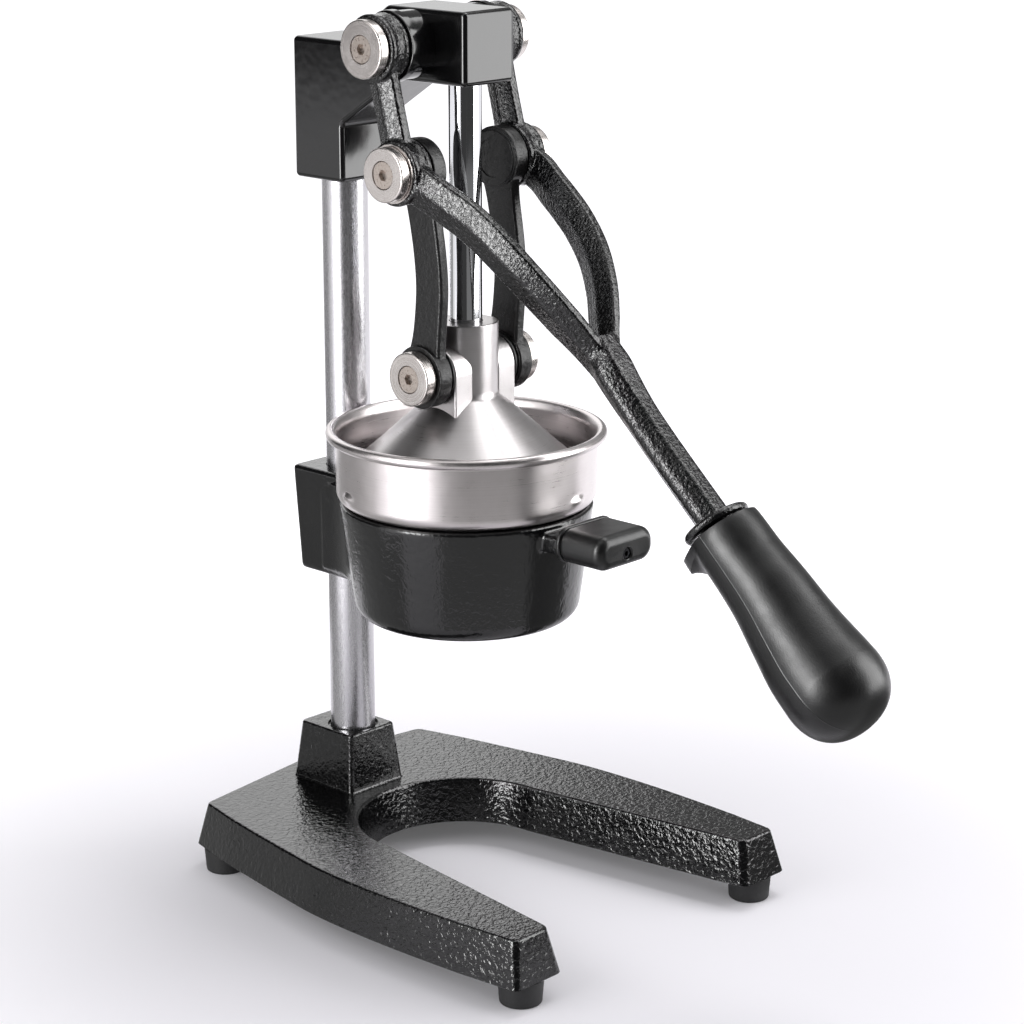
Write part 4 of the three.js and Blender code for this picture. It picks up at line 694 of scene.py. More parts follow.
# %% Shells of the bowl, web, clamp block and tab
bowl_count = 192
bowl_profile = np.concatenate([
    [[1.0, 141.8], [10.4, 141.8], [11.0, 142.4], [11.0, 147.3]],
    arc((48.0, 156.3), 9.0, quarter(10) - np.pi / 2),
    [[63.5, 204.9], [63.2, 205.7], [62.4, 206.0], [1.0, 206.0]]])
# One side of the web: (1 - s)^2 a + 2 s (1 - s) b + s^2 c, from the bowl at a to the post at c.
s = np.linspace(0, 1, 24)[:, None]
web_side = (1 - s) ** 2 * [40.0, 42.0] + 2 * s * (1 - s) * [20.0, 62.0] + s**2 * [21.0, 84.0]


def web_outline(inset):
    """Both flared sides of the web, each moved in by inset."""
    side_line = web_side - [inset, 0.0]
    return np.concatenate([side_line, side_line[::-1] * [-1.0, 1.0]])


clamp_low, clamp_high, clamp_ease = 153.6, 209.0, 1.6


def clamp_outline(inset, z):
    """The clamp block, which widens with the casting's draft as it goes up."""
    share_up = (z - clamp_low) / (clamp_high - clamp_low)
    wide, rear = 19.4 + 1.6 * share_up - inset, 102.6 + 3.4 * share_up - inset
    return rectangle(-wide, wide, 66.0 + 0.3 * inset, rear, 2.5)


web = stacked([(web_outline(inset), z)
               for z, inset in ((156.5, 1.2), (157.7, 0.0), (203.3, 0.0), (204.5, 1.2))])
eased = [(clamp_ease * (1 - math.sin(turn)), clamp_ease * (1 - math.cos(turn)))
         for turn in ease_turn]
clamp_levels = [(inset, clamp_low + rise) for inset, rise in eased]
clamp_levels += [(inset, clamp_high - rise) for inset, rise in eased[::-1]]
clamp = stacked([(clamp_outline(inset, z), z) for inset, z in clamp_levels])
tab = plate(rectangle(-12.0, 12.0, 193.4, 202.2, 1.3), -96.0, -52.0, 1.0, "y")
print("bowl profile:", len(bowl_profile), "points; clamp levels:", len(clamp_levels))

# %% Bowl casting
small_screw_axis = (0, 199.0)
holder = build("bowl_enamelled", [turned(bowl_profile, count=bowl_count), web, clamp, tab])
as_cast(holder, 0.95, 4)
bowl_room = [[8.0, 135.0], [8.0, 150.4], [47.0, 154.0], [51.5, 156.0], [53.0, 158.0], [59.6, 206.5],
             [59.6, 210.0]]
carve(holder, [turned(bowl_room, count=bowl_count), bar(post_bore, 150.0, 212.0, centre=post_axis),
               bar(set_screw_bore, 85.0, 110.0, "y", (0, 181.0), count=48),
               bar(2.1, -98.0, -86.0, "y", small_screw_axis, count=32)])
shade(holder, 40.0, False)
print("bowl casting:", len(holder.data.polygons), "faces")

# %% [markdown]
# The small grip is a moulding with a rounded front view and soft edges, pushed over the tab. It
# has a thin lip round its rear and a sunk screw in its face.

# %% Small grip
knob_outline = rectangle(-20.2, 20.2, 192.0, 210.0, 8.2, steps=12)
knob_body = offset(anticlockwise(knob_outline), -0.5)
knob = build("small_grip_moulded", [plate(knob_body, -106.8, -78.2, 4.8, "y", 12)])
carve(knob, [plate(knob_outline, -80.6, -78.2, 0.9, "y")], "UNION")
screw_well = [[3.6, -108.0], [3.6, -106.8], [2.9, -106.2], [2.9, -101.9]]
carve(knob, [plate(rectangle(-12.3, 12.3, 193.1, 202.5, 1.0), -96.3, -77.0, 0.1, "y"),
             turned(screw_well, "y", small_screw_axis, count=64),
             bar(2.1, -103.0, -95.0, "y", small_screw_axis, count=32)])
shade(knob, 34.0)
small_screw_profile = [[2.0, -88.0], [2.0, -103.2], [2.7, -103.4], [2.7, -105.4], [2.5, -105.7]]
small_screw = build("small_grip_screw_blackened",
                    [turned(small_screw_profile, "y", small_screw_axis, count=64)])
carve(small_screw, [bar(1.4, -107.0, -104.4, "y", small_screw_axis, count=6)])
shade(small_screw, 25.0)
print("small grip:", len(knob.data.polygons), "faces, screw:", len(small_screw.data.polygons))

# %% [markdown]
# The pan is spun from thin stainless sheet over a former, so it is one thin profile turned about
# the axis: a stepped floor, a soft corner, a straight wall and a rolled rim. Three dimples pressed
# into the wall are a bump added to the radius.

# %% Profile of the pan
roll = np.linspace(-0.78 * np.pi, 0.86 * np.pi, 26)
corner, corner_centre = quarter(12) - np.pi / 2, (59.0, 212.3)
pan_profile = np.concatenate([
    [[43.6, 202.4], [53.9, 202.4], [54.9, 202.8], [55.5, 203.6], [55.5, 205.6], [56.0, 206.3]],
    arc(corner_centre, 6.0, corner),
    [[65.0, 225.0], [65.0, 237.6]],
    arc((67.4, 241.0), 2.6, roll),
    [[64.2, 240.6], [63.8, 238.8], [63.8, 225.0]],
    arc(corner_centre, 4.8, corner[::-1]),
    [[54.9, 207.5], [54.3, 206.4], [54.3, 204.6], [53.6, 203.6], [43.6, 203.6]]])


def wall_rows(profile):
    """Adds rows up the straight wall so that a dimple has points to move."""
    out = []
    for a, b in zip(profile, np.roll(profile, -1, 0)):
        steps = 24 if abs(a[1] - b[1]) > 9 and abs(a[0] - b[0]) < 0.1 else 1
        out.append(a + (b - a) * np.linspace(0, 1, steps, endpoint=False)[:, None])
    return np.concatenate(out)


pan_profile = wall_rows(pan_profile)
print("pan profile:", len(pan_profile), "points")

# %% Pan with its three dimples
pan_count = 288
pan_angle = np.arange(pan_count) * 2 * np.pi / pan_count
pan_wall, dimple_height, dimple_depth = 64.5, 214.4, 1.35
dimple_half_wide, dimple_half_high = 4.6, 2.3
away = np.zeros((len(pan_profile), len(pan_angle)))
for centre in np.radians(-79.0 + np.array([0.0, 120.0, 240.0])):
    swing = (pan_angle - centre + np.pi) % (2 * np.pi) - np.pi
    reach = np.sqrt((swing * pan_wall / dimple_half_wide) ** 2
                    + ((pan_profile[:, 1:] - dimple_height) / dimple_half_high) ** 2)
    away += dimple_depth * np.exp(-reach**3.2)
straight = (pan_profile[:, :1] > 62.0) & (pan_profile[:, :1] < 65.2)
pan_radii = pan_profile[:, :1] + away * straight
pan = build("pan_spun", [lobed(pan_radii, pan_angle, pan_profile[:, 1], wrap_rows=True)])
shade(pan, 50.0, False)
print("pan:", len(pan.data.polygons), "faces")

# %% [markdown]
# The reamer is a ribbed cone on a slotted flange. Its radius is the cone's radius plus a ridge
# that repeats twelve times round it: r(a, h) = cone(h) + height |cos(6 a)|^8.

# %% Reamer
cone_up, tip_turn = np.linspace(0, 1, 40), quarter(9)[1:-1]
flange_rows = [[1.5, 237.0], [3.0, 235.5], [34.4, 203.9], [49.2, 203.9], [49.5, 204.2],
               [49.5, 205.6], [49.2, 205.9], [42.0, 205.9]]
cone_rows = np.concatenate([
    flange_rows, np.stack([38.0 - 33.0 * cone_up, 206.4 + 33.6 * cone_up**0.92], -1),
    arc((0.0, 240.0), (5.0, 4.0), tip_turn), [[0.6, 244.0]]])
reamer_count, rib_count, slot_count, rib_height = 240, 12, 24, 2.6
reamer_angle = np.arange(reamer_count) * 2 * np.pi / reamer_count
ridge = np.abs(np.cos(rib_count / 2 * reamer_angle)) ** 8
row = np.arange(len(cone_rows))
ribbed = (row >= len(flange_rows)) & (row < len(cone_rows) - 3)
reamer_radii = cone_rows[:, :1] + rib_height * ribbed[:, None] * ridge
reamer = build("reamer_cast", [lobed(reamer_radii, reamer_angle, cone_rows[:, 1])])
slot_outline = rectangle(43.2, 46.8, -0.9, 0.9, 0.8, steps=3)
slots = []
for a in 2 * np.pi / slot_count * (np.arange(slot_count) + 0.5):
    turn = np.array([[math.cos(a), math.sin(a)], [-math.sin(a), math.cos(a)]])
    slots.append(plate(slot_outline @ turn, 202.0, 208.0, 0.01, "z", 1))
carve(reamer, [slots])
shade(reamer, 40.0, False)
print("reamer:", len(reamer.data.polygons), "faces")

# %% [markdown]
# Rubber feet are turned pads with a soft edge, wider at the top than where they stand.

# %% Feet
pad_profile = np.concatenate([
    [[4.5, 5.9], [4.5, 0.35], [4.85, 0.0]], arc((9.1, 1.2), 1.2, ease_turn - np.pi / 2),
    [[11.1, 11.7], [10.9, 12.2], [6.0, 12.3], [6.0, 16.5], [2.5, 16.5], [2.5, 5.9]]])
feet = []
for word, place in foot_places.items():
    pad = turned(pad_profile, "z", place, closed=True, count=96)
    feet.append((shade(build(f"foot_{word}_rubber", [pad])), word))
print("feet:", len(feet))

# %% [markdown]
# Colour first. Hex values are written in sRGB, as a colour picker shows them, and one function
# turns them to the linear numbers that the shader works in. Nearly every finish here has a height
# field in a bump and a gloss that follows a field, so one function wires these two.

# %% Linear colour, nodes, and what nearly every finish has
def linear(hex_colour):
    """sRGB hex to linear: v / 12.92 in the dark, ((v + 0.055) / 1.055)^2.4 above it."""
    v = np.array([int(hex_colour[k:k + 2], 16) / 255 for k in (1, 3, 5)])
    out = np.where(v <= 0.04045, v / 12.92, ((v + 0.055) / 1.055) ** 2.4)
    return (*[float(x) for x in out], 1.0)


def add(tree, kind, settings=None, **links):
    """Adds a node, sets its properties or inputs by name, and links inputs to other outputs."""
    node = tree.nodes.new(kind)
    for key, value in (settings or {}).items():
        if isinstance(key, int) or key in node.inputs:
            node.inputs[key].default_value = value
        else:
            setattr(node, key, value)
    for key, source in links.items():
        by_number = key[0] == "i" and key[1:].isdigit()
        tree.links.new(source, node.inputs[int(key[1:]) if by_number else key.replace("_", " ")])
    return node


def new_material(name, colour, roughness, **others):
    """A material with its shader's even values set on the shader's own sockets."""
    material = bpy.data.materials.new(name)
    material.use_nodes = True
    tree = material.node_tree
    shader = tree.nodes["Principled BSDF"]
    for key, value in {"Base Color": linear(colour), "Roughness": roughness, **others}.items():
        shader.inputs[key].default_value = value
    place = add(tree, "ShaderNodeTexCoord").outputs["Object"]
    return material, tree, shader, place


def vary(tree, shader, height=None, depth_mm=0.0, field=None, gloss=None, strength=1.0):
    """Height moves the surface by depth_mm; the middle of a field spreads the gloss."""
    if height:
        bump = add(tree, "ShaderNodeBump", {"Strength": strength, "Distance": depth_mm * MM},
                   Height=height)
        tree.links.new(bump.outputs["Normal"], shader.inputs["Normal"])
    if field:
        spread = add(tree, "ShaderNodeMapRange", {
            "From Min": 0.3, "From Max": 0.7, "To Min": gloss[0], "To Max": gloss[1]}, Value=field)
        tree.links.new(spread.outputs["Result"], shader.inputs["Roughness"])


def tint(tree, shader, dark, pale, field):
    """The colour runs from dark to pale as the field runs from 0 to 1."""
    tone = add(tree, "ShaderNodeMix", {"data_type": "RGBA", 6: linear(dark), 7: linear(pale)},
               i0=field)
    tree.links.new(tone.outputs[2], shader.inputs["Base Color"])


enamel_black = "#0c0c0d"
print("black enamel is", [round(v, 4) for v in linear(enamel_black)[:3]], "in linear")

# %% [markdown]
# Hammered enamel is a stove paint whose surface pulls into small lumps as it dries. To the eye it
# is nearly black with a hard gloss, broken by lumps that each catch the lights for themselves:
# 1.7 mm apart on the lever, 2.6 mm on the base and a soft 3.4 mm orange peel on the bowl. The
# lumps are noise in a bump, and the gloss varies a little.

# %% Black enamels
def hammered_enamel(name, lump_mm, depth_mm, roughness, peel_share=0.18):
    """Gloss black: lumps lump_mm apart and depth_mm deep, with a peel 2.6 times finer on them."""
    material, tree, shader, place = new_material(name, enamel_black, roughness, IOR=1.55)
    lumps = add(tree, "ShaderNodeTexNoise", {"Scale": 1000 / lump_mm, "Detail": 2.0,
                "Roughness": 0.55, "Distortion": 0.6}, Vector=place).outputs["Fac"]
    peel = add(tree, "ShaderNodeTexNoise", {"Scale": 2600 / lump_mm, "Detail": 2.0,
               "Roughness": 0.5}, Vector=place).outputs["Fac"]
    height = add(tree, "ShaderNodeMath", {"operation": "MULTIPLY_ADD", 1: peel_share},
                 i0=peel, i2=lumps).outputs[0]
    patches = add(tree, "ShaderNodeTexNoise", {"Scale": 60.0, "Detail": 2.0},
                  Vector=place).outputs["Fac"]
    vary(tree, shader, height, depth_mm, patches, (roughness * 0.8, roughness * 1.3))
    return material


def grained(name, colour, roughness, ior, fine, broad, share, depth_mm, gloss_by, gloss):
    """Fine grain over broad waves, each (mm, detail): height = fine + share * broad."""
    material, tree, shader, place = new_material(name, colour, roughness, IOR=ior)
    fields = {word: add(tree, "ShaderNodeTexNoise", {"Scale": 1000 / size, "Detail": detail},
                        Vector=place).outputs["Fac"]
              for word, (size, detail) in (("fine", fine), ("broad", broad))}
    height = add(tree, "ShaderNodeMath", {"operation": "MULTIPLY_ADD", 1: share},
                 i0=fields["broad"], i2=fields["fine"]).outputs[0]
    vary(tree, shader, height, depth_mm, fields[gloss_by], gloss)
    return material


hammered_lever = hammered_enamel("hammered_enamel_coarse", 1.7, 0.5, 0.07, 0.1)
hammered_base = hammered_enamel("hammered_enamel_base", 2.6, 0.42, 0.08, 0.12)
hammered_bowl = hammered_enamel("orange_peel_enamel", 3.4, 0.22, 0.16)

# Stove enamel that was left smooth: a hard gloss whose reflections wander a little.
smooth_enamel, tree, shader, place = new_material("gloss_enamel_smooth", enamel_black, 0.13,
                                                  IOR=1.55)
waves = add(tree, "ShaderNodeTexNoise", {"Scale": 140.0, "Detail": 1.0}, Vector=place)
vary(tree, shader, waves.outputs["Fac"], 0.05)

# Satin enamel on the links: a fine dry grain over a faint peel, so lights spread to a soft sheen.
satin_enamel = grained("satin_enamel_grained", "#0c0b0c", 0.36, 1.45, (0.9, 3.0), (3.2, 1.0), 1.6,
                       0.16, "fine", (0.26, 0.42))
print("enamels:", *[m.name for m in (hammered_lever, hammered_base, hammered_bowl, smooth_enamel,
                                     satin_enamel)])

# %% [markdown]
# Moulded plastic and rubber. The grips are injection moulded: an even satin black whose skin has
# the faint grain of the mould and shallow sink marks. Rubber is matt, with a dusty bloom.

# %% Plastics and rubber
# Moulded grip plastic: the sink marks let its one soft sheen wander.
moulded_plastic = grained("satin_plastic_moulded", "#0d0d0e", 0.34, 1.5, (0.7, 2.0), (9.0, 1.0),
                          2.2, 0.06, "broad", (0.3, 0.38))

# Moulded natural rubber: a rough skin that takes no highlight, with paler dust in its pores.
rubber, tree, shader, place = new_material("rubber_moulded", "#19191a", 0.62)
dust = add(tree, "ShaderNodeTexNoise", {"Scale": 1000 / 1.1, "Detail": 4.0},
           Vector=place).outputs["Fac"]
tint(tree, shader, "#151516", "#262627", dust)
vary(tree, shader, dust, 0.1, strength=0.6)

# Turned nylon, as the spacers are: a waxy black whose sheen breaks up in faint tool marks.
nylon, tree, shader, place = new_material("nylon_black", "#101011", 0.4, IOR=1.53)
marks = add(tree, "ShaderNodeTexNoise", {"Scale": 1000 / 0.8, "Detail": 2.0}, Vector=place)
vary(tree, shader, field=marks.outputs["Fac"], gloss=(0.32, 0.48))
print("plastics:", moulded_plastic.name, rubber.name, nylon.name)

# %% [markdown]
# Bare metals. Drawn and brushed steel carries hairlines along its length, a turned face carries
# rings round its own centre, spun sheet carries rings round the pan, and cast aluminium is softer
# and greyer. In each the pattern stretches noise in the direction of the tool. The marks of a real
# tool are finer than a pixel of this picture, so they are drawn as coarse as they need to show.

# %% Two ways that a tool marks a metal
def streaked_metal(name, dark, pale, roughness, streak_mm, depth_mm, spread):
    """Tone and gloss follow streaks; streak_mm is the size of one along X, Y and Z."""
    material, tree, shader, place = new_material(name, pale, roughness, Metallic=1.0)
    mapped = add(tree, "ShaderNodeMapping", {"Scale": tuple(1000 / s for s in streak_mm)},
                 Vector=place).outputs["Vector"]
    streak = add(tree, "ShaderNodeTexNoise", {"Scale": 1.0, "Detail": 4.0, "Roughness": 0.6},
                 Vector=mapped).outputs["Fac"]
    tint(tree, shader, dark, pale, streak)
    vary(tree, shader, streak, depth_mm, streak, (roughness - spread, roughness + spread))
    return material


def ringed_metal(name, dark, pale, roughness, centre_mm, axis, ring_mm, depth_mm, spread=0.06):
    """Tool rings: noise read by distance from an axis and place along it, plus broad patches."""
    material, tree, shader, place = new_material(name, pale, roughness, Metallic=1.0)
    centre = [v * MM for v in centre_mm]
    centre[1] += press_axis_y
    keep = {"x": (0.0, 1.0, 1.0), "z": (1.0, 1.0, 0.0)}[axis]
    along = tuple(1 - k for k in keep)
    moved = add(tree, "ShaderNodeVectorMath", {"operation": "SUBTRACT", 1: centre},
                i0=place).outputs["Vector"]
    flat = add(tree, "ShaderNodeVectorMath", {"operation": "MULTIPLY", 1: keep},
               i0=moved).outputs["Vector"]
    distance = add(tree, "ShaderNodeVectorMath", {"operation": "LENGTH"}, i0=flat).outputs["Value"]
    level = add(tree, "ShaderNodeVectorMath", {"operation": "DOT_PRODUCT", 1: along},
                i0=moved).outputs["Value"]
    across = add(tree, "ShaderNodeCombineXYZ", X=distance, Y=level).outputs["Vector"]
    rings = add(tree, "ShaderNodeTexNoise", {"Scale": 1000 / ring_mm, "Detail": 3.0,
                "Roughness": 0.65}, Vector=across).outputs["Fac"]
    patches = add(tree, "ShaderNodeTexNoise", {"Scale": 1000 / 7.0, "Detail": 3.0},
                  Vector=place).outputs["Fac"]
    both = add(tree, "ShaderNodeMix", {"data_type": "FLOAT", 0: 0.3},
               i2=rings, i3=patches).outputs[0]
    share = add(tree, "ShaderNodeMapRange", {"From Min": 0.3, "From Max": 0.7},
                Value=both).outputs["Result"]
    tint(tree, shader, dark, pale, share)
    vary(tree, shader, rings, depth_mm, both, (roughness - spread, roughness + spread))
    return material


print("metal functions ready")

# %% Metals
# Drawn steel: pulled through a die, so hairlines run up the post and draw its lights out.
drawn_steel = streaked_metal("drawn_steel", "#a9a7ab", "#d0cfd2", 0.26, (0.3, 0.3, 4.0), 0.02, 0.05)
# Chrome plate on a ground rod: nearly a mirror, with the faint length of the grinding left in it.
chromed = streaked_metal("chrome_plate", "#d6d7da", "#e2e3e6", 0.06, (2.0, 2.0, 30.0), 0.003, 0.02)
# Tumbled cast aluminium: soft even grain, so it looks grey and satin with no direction.
cast_metal = streaked_metal("cast_aluminium_satin", "#a5a2a3", "#c0bebe", 0.34, (3.0, 3.0, 3.0),
                            0.05, 0.07)
# Zinc plate on small steel parts: a warm grey with a dull, slightly mottled shine.
plated_screw = streaked_metal("zinc_plated_steel", "#a4988f", "#c6bcb5", 0.3, (1.2, 1.2, 1.2),
                              0.02, 0.06)
# Black oxide on steel: a dark bath finish that keeps the metal's shine but little of its light.
black_screw = streaked_metal("black_oxide_steel", "#1d1d1f", "#3a3a3d", 0.34, (1.2, 1.2, 1.2),
                             0.02, 0.06)
# Turned steel: a facing cut leaves fine rings round each pivot, so a light fans out across the cap.
turned_faces = {joint: ringed_metal(f"turned_steel_{joint}", "#b8b1ae", "#d6d1ce", 0.25,
                                    (0.0, *values[0]), "x", 0.35, 0.01)
                for joint, values in cap_sets.items()}
# Turned aluminium: shallow rings round the bell's axis over the grey patches of the casting.
turned_bell = ringed_metal("turned_aluminium", "#b3afaf", "#c2bfc0", 0.32, (0, 0, 0), "z", 0.5,
                           0.003)
# Spun stainless sheet: the spinning tool leaves rings that turn a light into an upright band.
spun_sheet = ringed_metal("spun_stainless", "#c0baba", "#d0cbcb", 0.3, (0, 0, 0), "z", 0.5,
                          0.006, 0.05)
print("metals:", *[m.name for m in (drawn_steel, chromed, cast_metal, plated_screw, spun_sheet)])

# %% [markdown]
# Dressing. Each new piece gets its material, rides on the body of the node that it stands for and
# hides that node. Small steel parts that hardly show keep the imported model's own solid and only
# get a material.

# %% Give every piece its material and body, and hide its nodes
def dress(obj, material, slot, body, *nodes):
    """Material, body and the CAD nodes that the piece stands for; slot is not used."""
    obj.data.materials.clear()
    obj.data.materials.append(material)
    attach(obj, body)
    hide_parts(*nodes)


dress(base, hammered_base, "hammered_black_enamel", "frame", "base_casting")
dress(post, drawn_steel, "brushed_steel", "frame", "rear_post")
dress(rod, chromed, "chrome", "frame", "guide_rod")
dress(head, smooth_enamel, "gloss_black_enamel", "frame", "head_casting")
dress(lever, hammered_lever, "hammered_black_enamel", "lever", "lever_yoke")
dress(grip, moulded_plastic, "satin_black_plastic", "lever", "lever_grip")
for word, obj in links.items():
    dress(obj, satin_enamel, "satin_black_enamel", f"link_{word}", f"link_{word}")
for obj, joint, word, body in caps:
    dress(obj, turned_faces[joint], "turned_steel", body, f"{joint}_cap_{word}")
for obj, joint, word, body in screws:
    dress(obj, plated_screw, "zinc_steel", body, f"{joint}_screw_{word}")
dress(bell, turned_bell, "cast_aluminium", "bell", "press_bell")
for obj, word in spacers:
    dress(obj, nylon, "black_nylon", "bell", f"bell_spacer_{word}")
dress(holder, hammered_bowl, "hammered_black_enamel", "frame", "bowl_holder")
dress(knob, moulded_plastic, "satin_black_plastic", "frame", "bowl_grip")
dress(small_screw, black_screw, "zinc_steel", "frame", "bowl_grip_screw")
dress(pan, spun_sheet, "spun_stainless", "frame", "strainer_pan")
dress(reamer, cast_metal, "cast_aluminium", "frame", "reamer_cone")
for obj, word in feet:
    dress(obj, rubber, "black_rubber", "frame", f"foot_{word}")

kept = {"middle_washer": turned_faces["middle"]}
for start_of_name in ("foot_screw", "post_bolt", "head_set_screw", "trunnion_pin", "middle_pin",
                      "bell_pivot_pin", "clamp_set_screw", "link_pin_end"):
    kept[start_of_name] = plated_screw
for start_of_name, material in kept.items():
    for node_name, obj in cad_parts.items():
        if node_name.startswith(start_of_name):
            obj.data.materials.clear()
            obj.data.materials.append(material)
            print("kept node", node_name, "in", material.name)

# %% [markdown]
# The studio. A white floor runs out of the picture on all sides and keeps the shadow under the
# press. It glows for the camera and for reflections, a little near the press and fully further
# out, so that the shadow fades into pure white. The sky fills in the shadows from all sides.

# %% Floor and sky
WHITE = (1, 1, 1, 1)
floor_reach = 15
floor = mesh_object("floor", [(x * floor_reach, y * floor_reach, 0) for x, y in
                              ((-1, -1), (1, -1), (1, 1), (-1, 1))], [(0, 1, 2, 3)])
floor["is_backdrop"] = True


def seen_directly(tree):
    """1 for rays from the camera, off a gloss or through a clear body, and 0 for soft light."""
    rays = add(tree, "ShaderNodeLightPath").outputs
    seen = add(tree, "ShaderNodeMath", {"operation": "ADD"}, i0=rays["Is Camera Ray"],
               i1=rays["Is Glossy Ray"]).outputs[0]
    return add(tree, "ShaderNodeMath", {"operation": "ADD", "use_clamp": True}, i0=seen,
               i1=rays["Is Transmission Ray"]).outputs[0]


def plain_tree(owner):
    """The empty node tree of a new material or world."""
    owner.use_nodes = True
    owner.node_tree.nodes.clear()
    return owner.node_tree


# White sweep paper: matt and very slightly cool, so that it shows no gloss of its own.
floor_material = bpy.data.materials.new("white_floor")
tree = plain_tree(floor_material)
place = add(tree, "ShaderNodeTexCoord").outputs["Object"]
from_press = add(tree, "ShaderNodeVectorMath", {"operation": "LENGTH"}, i0=place).outputs["Value"]
further = add(tree, "ShaderNodeMapRange", {
    "interpolation_type": "SMOOTHSTEP", "From Min": 0.14, "From Max": 0.75, "To Min": 0.08,
    "To Max": 0.72}, Value=from_press).outputs["Result"]
glow = add(tree, "ShaderNodeMath", {"operation": "MULTIPLY"}, i0=seen_directly(tree),
           i1=further).outputs[0]
matt = add(tree, "ShaderNodeBsdfDiffuse", {"Color": linear("#eceaf0")}).outputs[0]
light = add(tree, "ShaderNodeEmission", {"Color": WHITE}, Strength=glow).outputs[0]
both = add(tree, "ShaderNodeAddShader", i0=matt, i1=light).outputs[0]
add(tree, "ShaderNodeOutputMaterial", Surface=both)
floor.data.materials.append(floor_material)

sky_light = 0.5
world = bpy.data.worlds.new("studio")
bpy.context.scene.world = world
tree = plain_tree(world)
sky = add(tree, "ShaderNodeMath", {"operation": "MULTIPLY_ADD", 1: 1 - sky_light, 2: sky_light},
          i0=seen_directly(tree)).outputs[0]
background = add(tree, "ShaderNodeBackground", {"Color": WHITE}, Strength=sky).outputs[0]
add(tree, "ShaderNodeOutputWorld", Surface=background)
print("floor and sky set")

# %% [markdown]
# Three broad lamps light the press evenly. Gloss black and bare steel show only what they
# reflect, so cards stand round the press outside the picture and are seen in reflections alone: a
# narrow bright one on the left and a wide one on the right. The other cards stand for the room and
# the floor: pale, grey and dark tables lie just above the floor, with dark walls to the left and
# behind the camera, a grey wall on the right and a pale one at the rear. The grey and dark cards
# that lie on the floor close to the press, in front, on the right, beside it and at the left rear,
# are painted shade: in reflections they stand for the floor where the press shades it.

# %% Lamps and cards
to_camera = Vector((camera_place[0], camera_place[1] - press_axis_y, 0.0)).normalized()
to_right = Vector((-to_camera.y, to_camera.x, 0.0))
aim_height = 0.25
card_steps = 24


def around(azimuth, distance, height):
    """A point round the press; azimuth is 0 towards the camera and grows to the picture's right."""
    a = math.radians(azimuth)
    away = (to_camera * math.cos(a) + to_right * math.sin(a)) * distance
    return away + Vector((0.0, press_axis_y, height))


def lamp(name, azimuth, distance, height, size, brightness):
    """A soft area lamp that faces the press; a brightness of 1 is as bright as white paper."""
    data = bpy.data.lights.new(name, "AREA")
    data.shape = "RECTANGLE"
    data.size, data.size_y = size
    data.energy = brightness * math.pi * size[0] * size[1]
    obj = stand(name, data)
    obj.location = around(azimuth, distance, height)
    aim = Vector((0.0, press_axis_y, aim_height)) - obj.location
    obj.rotation_euler = aim.to_track_quat("-Z", "Y").to_euler()


def card(name, azimuths, distances, heights, brightness):
    """A bent card from one arc round the press to another, which only reflections see."""
    row = card_steps + 1
    turns = np.linspace(*azimuths, row)
    points = [around(a, r, z) for r, z in zip(distances, heights) for a in turns]
    faces = [(k, k + 1, k + row + 1, k + row) for k in range(card_steps)]
    obj = mesh_object(name, points, faces)
    obj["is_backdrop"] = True
    material = bpy.data.materials.new(name)
    tree = plain_tree(material)
    glow = add(tree, "ShaderNodeEmission", {"Color": WHITE, "Strength": brightness}).outputs[0]
    add(tree, "ShaderNodeOutputMaterial", Surface=glow)
    obj.data.materials.append(material)
    for ray in ("camera", "diffuse", "shadow", "transmission"):
        setattr(obj, f"visible_{ray}", False)


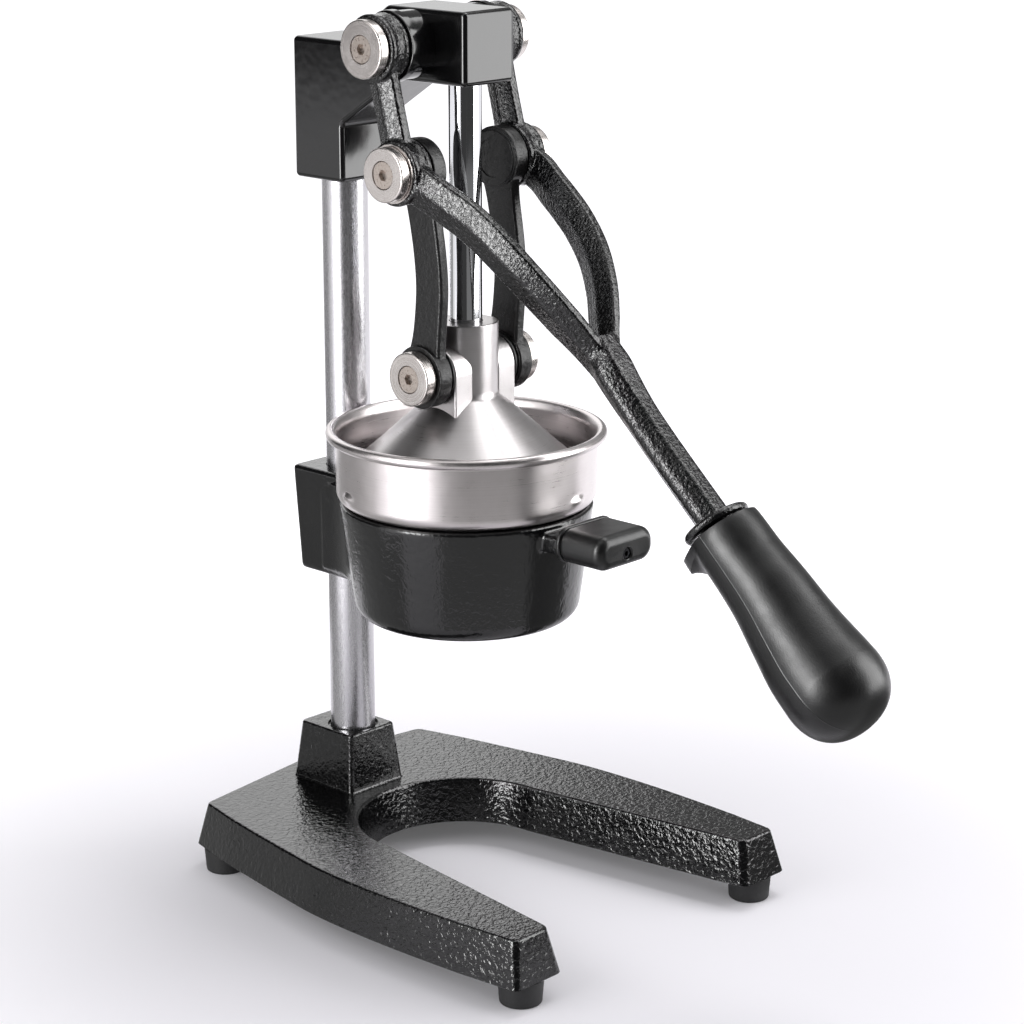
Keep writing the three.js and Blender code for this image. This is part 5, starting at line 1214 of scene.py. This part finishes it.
# A lamp has one azimuth in degrees, one distance, height and size in metres, and its brightness.
# A card has two of each, for its lower and its upper arc; the tables lie 3 mm above the floor.
lamp("lamp_left", -60, 1.25, 0.75, (1.1, 1.2), 1.5)
lamp("lamp_right", 86, 1.15, 0.7, (0.9, 1.0), 2.0)
lamp("lamp_top", 125, 0.6, 1.65, (0.85, 0.85), 4.0)
card("bright_left", (-57, -40), (0.95, 0.95), (0.06, 0.7), 16.0)
card("bright_right", (62, 100), (0.95, 0.95), (0.11, 1.25), 6.3)
# Painted shade in reflections: a grey card for the floor that the press shades in front of it.
card("grey_shade_card_in_front", (-24, 60), (0.27, 1.0), (0.003, 0.003), 0.6)
card("dark_table_near_camera", (-24, 6), (1.0, 2.4), (0.003, 0.003), 0.05)
card("dark_table_right_of_camera", (6, 60), (1.0, 2.4), (0.003, 0.003), 0.2)
card("dark_wall_behind_camera", (-30, 62), (2.4, 2.4), (0.0, 4.5), 0.05)
# Painted shade in reflections: a dark card for the floor that the press shades on its right.
card("dark_table_right", (60, 110), (0.16, 1.6), (0.003, 0.003), 0.22)
card("dark_wall_left", (-140, -60), (2.42, 2.42), (0.12, 4.5), 0.04)
# Painted shade in reflections: a grey card for the floor that the press shades beside it on the
# left.
card("grey_shade_card_beside", (-125, -60), (0.13, 0.45), (0.003, 0.003), 0.5)
card("grey_table_left", (-98, -80), (0.45, 1.15), (0.003, 0.003), 0.5)
card("pale_table_left", (-98, -80), (1.15, 2.4), (0.003, 0.003), 1.05)
# Painted shade in reflections: a dark card for the floor that the press shades at its left rear.
card("dark_shade_card_left_rear", (-150, -98), (0.45, 2.4), (0.003, 0.003), 0.4)
card("grey_wall_right", (100, 178), (6.0, 6.0), (0.1, 8.0), 0.28)
card("pale_wall_rear", (178, 216), (6.0, 6.0), (1.4, 5.0), 1.8)
print("lamps and cards set")

# %% [markdown]
# Standard view keeps colours as they are written. The boxes of both models are worked out, and a
# print shows by how much the dressed model passes the imported one.

# %% View settings and the sizes of both models
bpy.context.scene.view_settings.view_transform = "Standard"
visual_low, visual_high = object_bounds()
sizes = {"cad": [[float(v) for v in cad_low], [float(v) for v in cad_high]],
         "visual": [[float(v) for v in visual_low], [float(v) for v in visual_high]]}
growth = [round(1000 * (a - b), 3) for a, b in zip(sizes["cad"][0], sizes["visual"][0])]
growth += [round(1000 * (b - a), 3) for a, b in zip(sizes["cad"][1], sizes["visual"][1])]
print("the dressed model passes the CAD box by (mm, low then high):", growth)
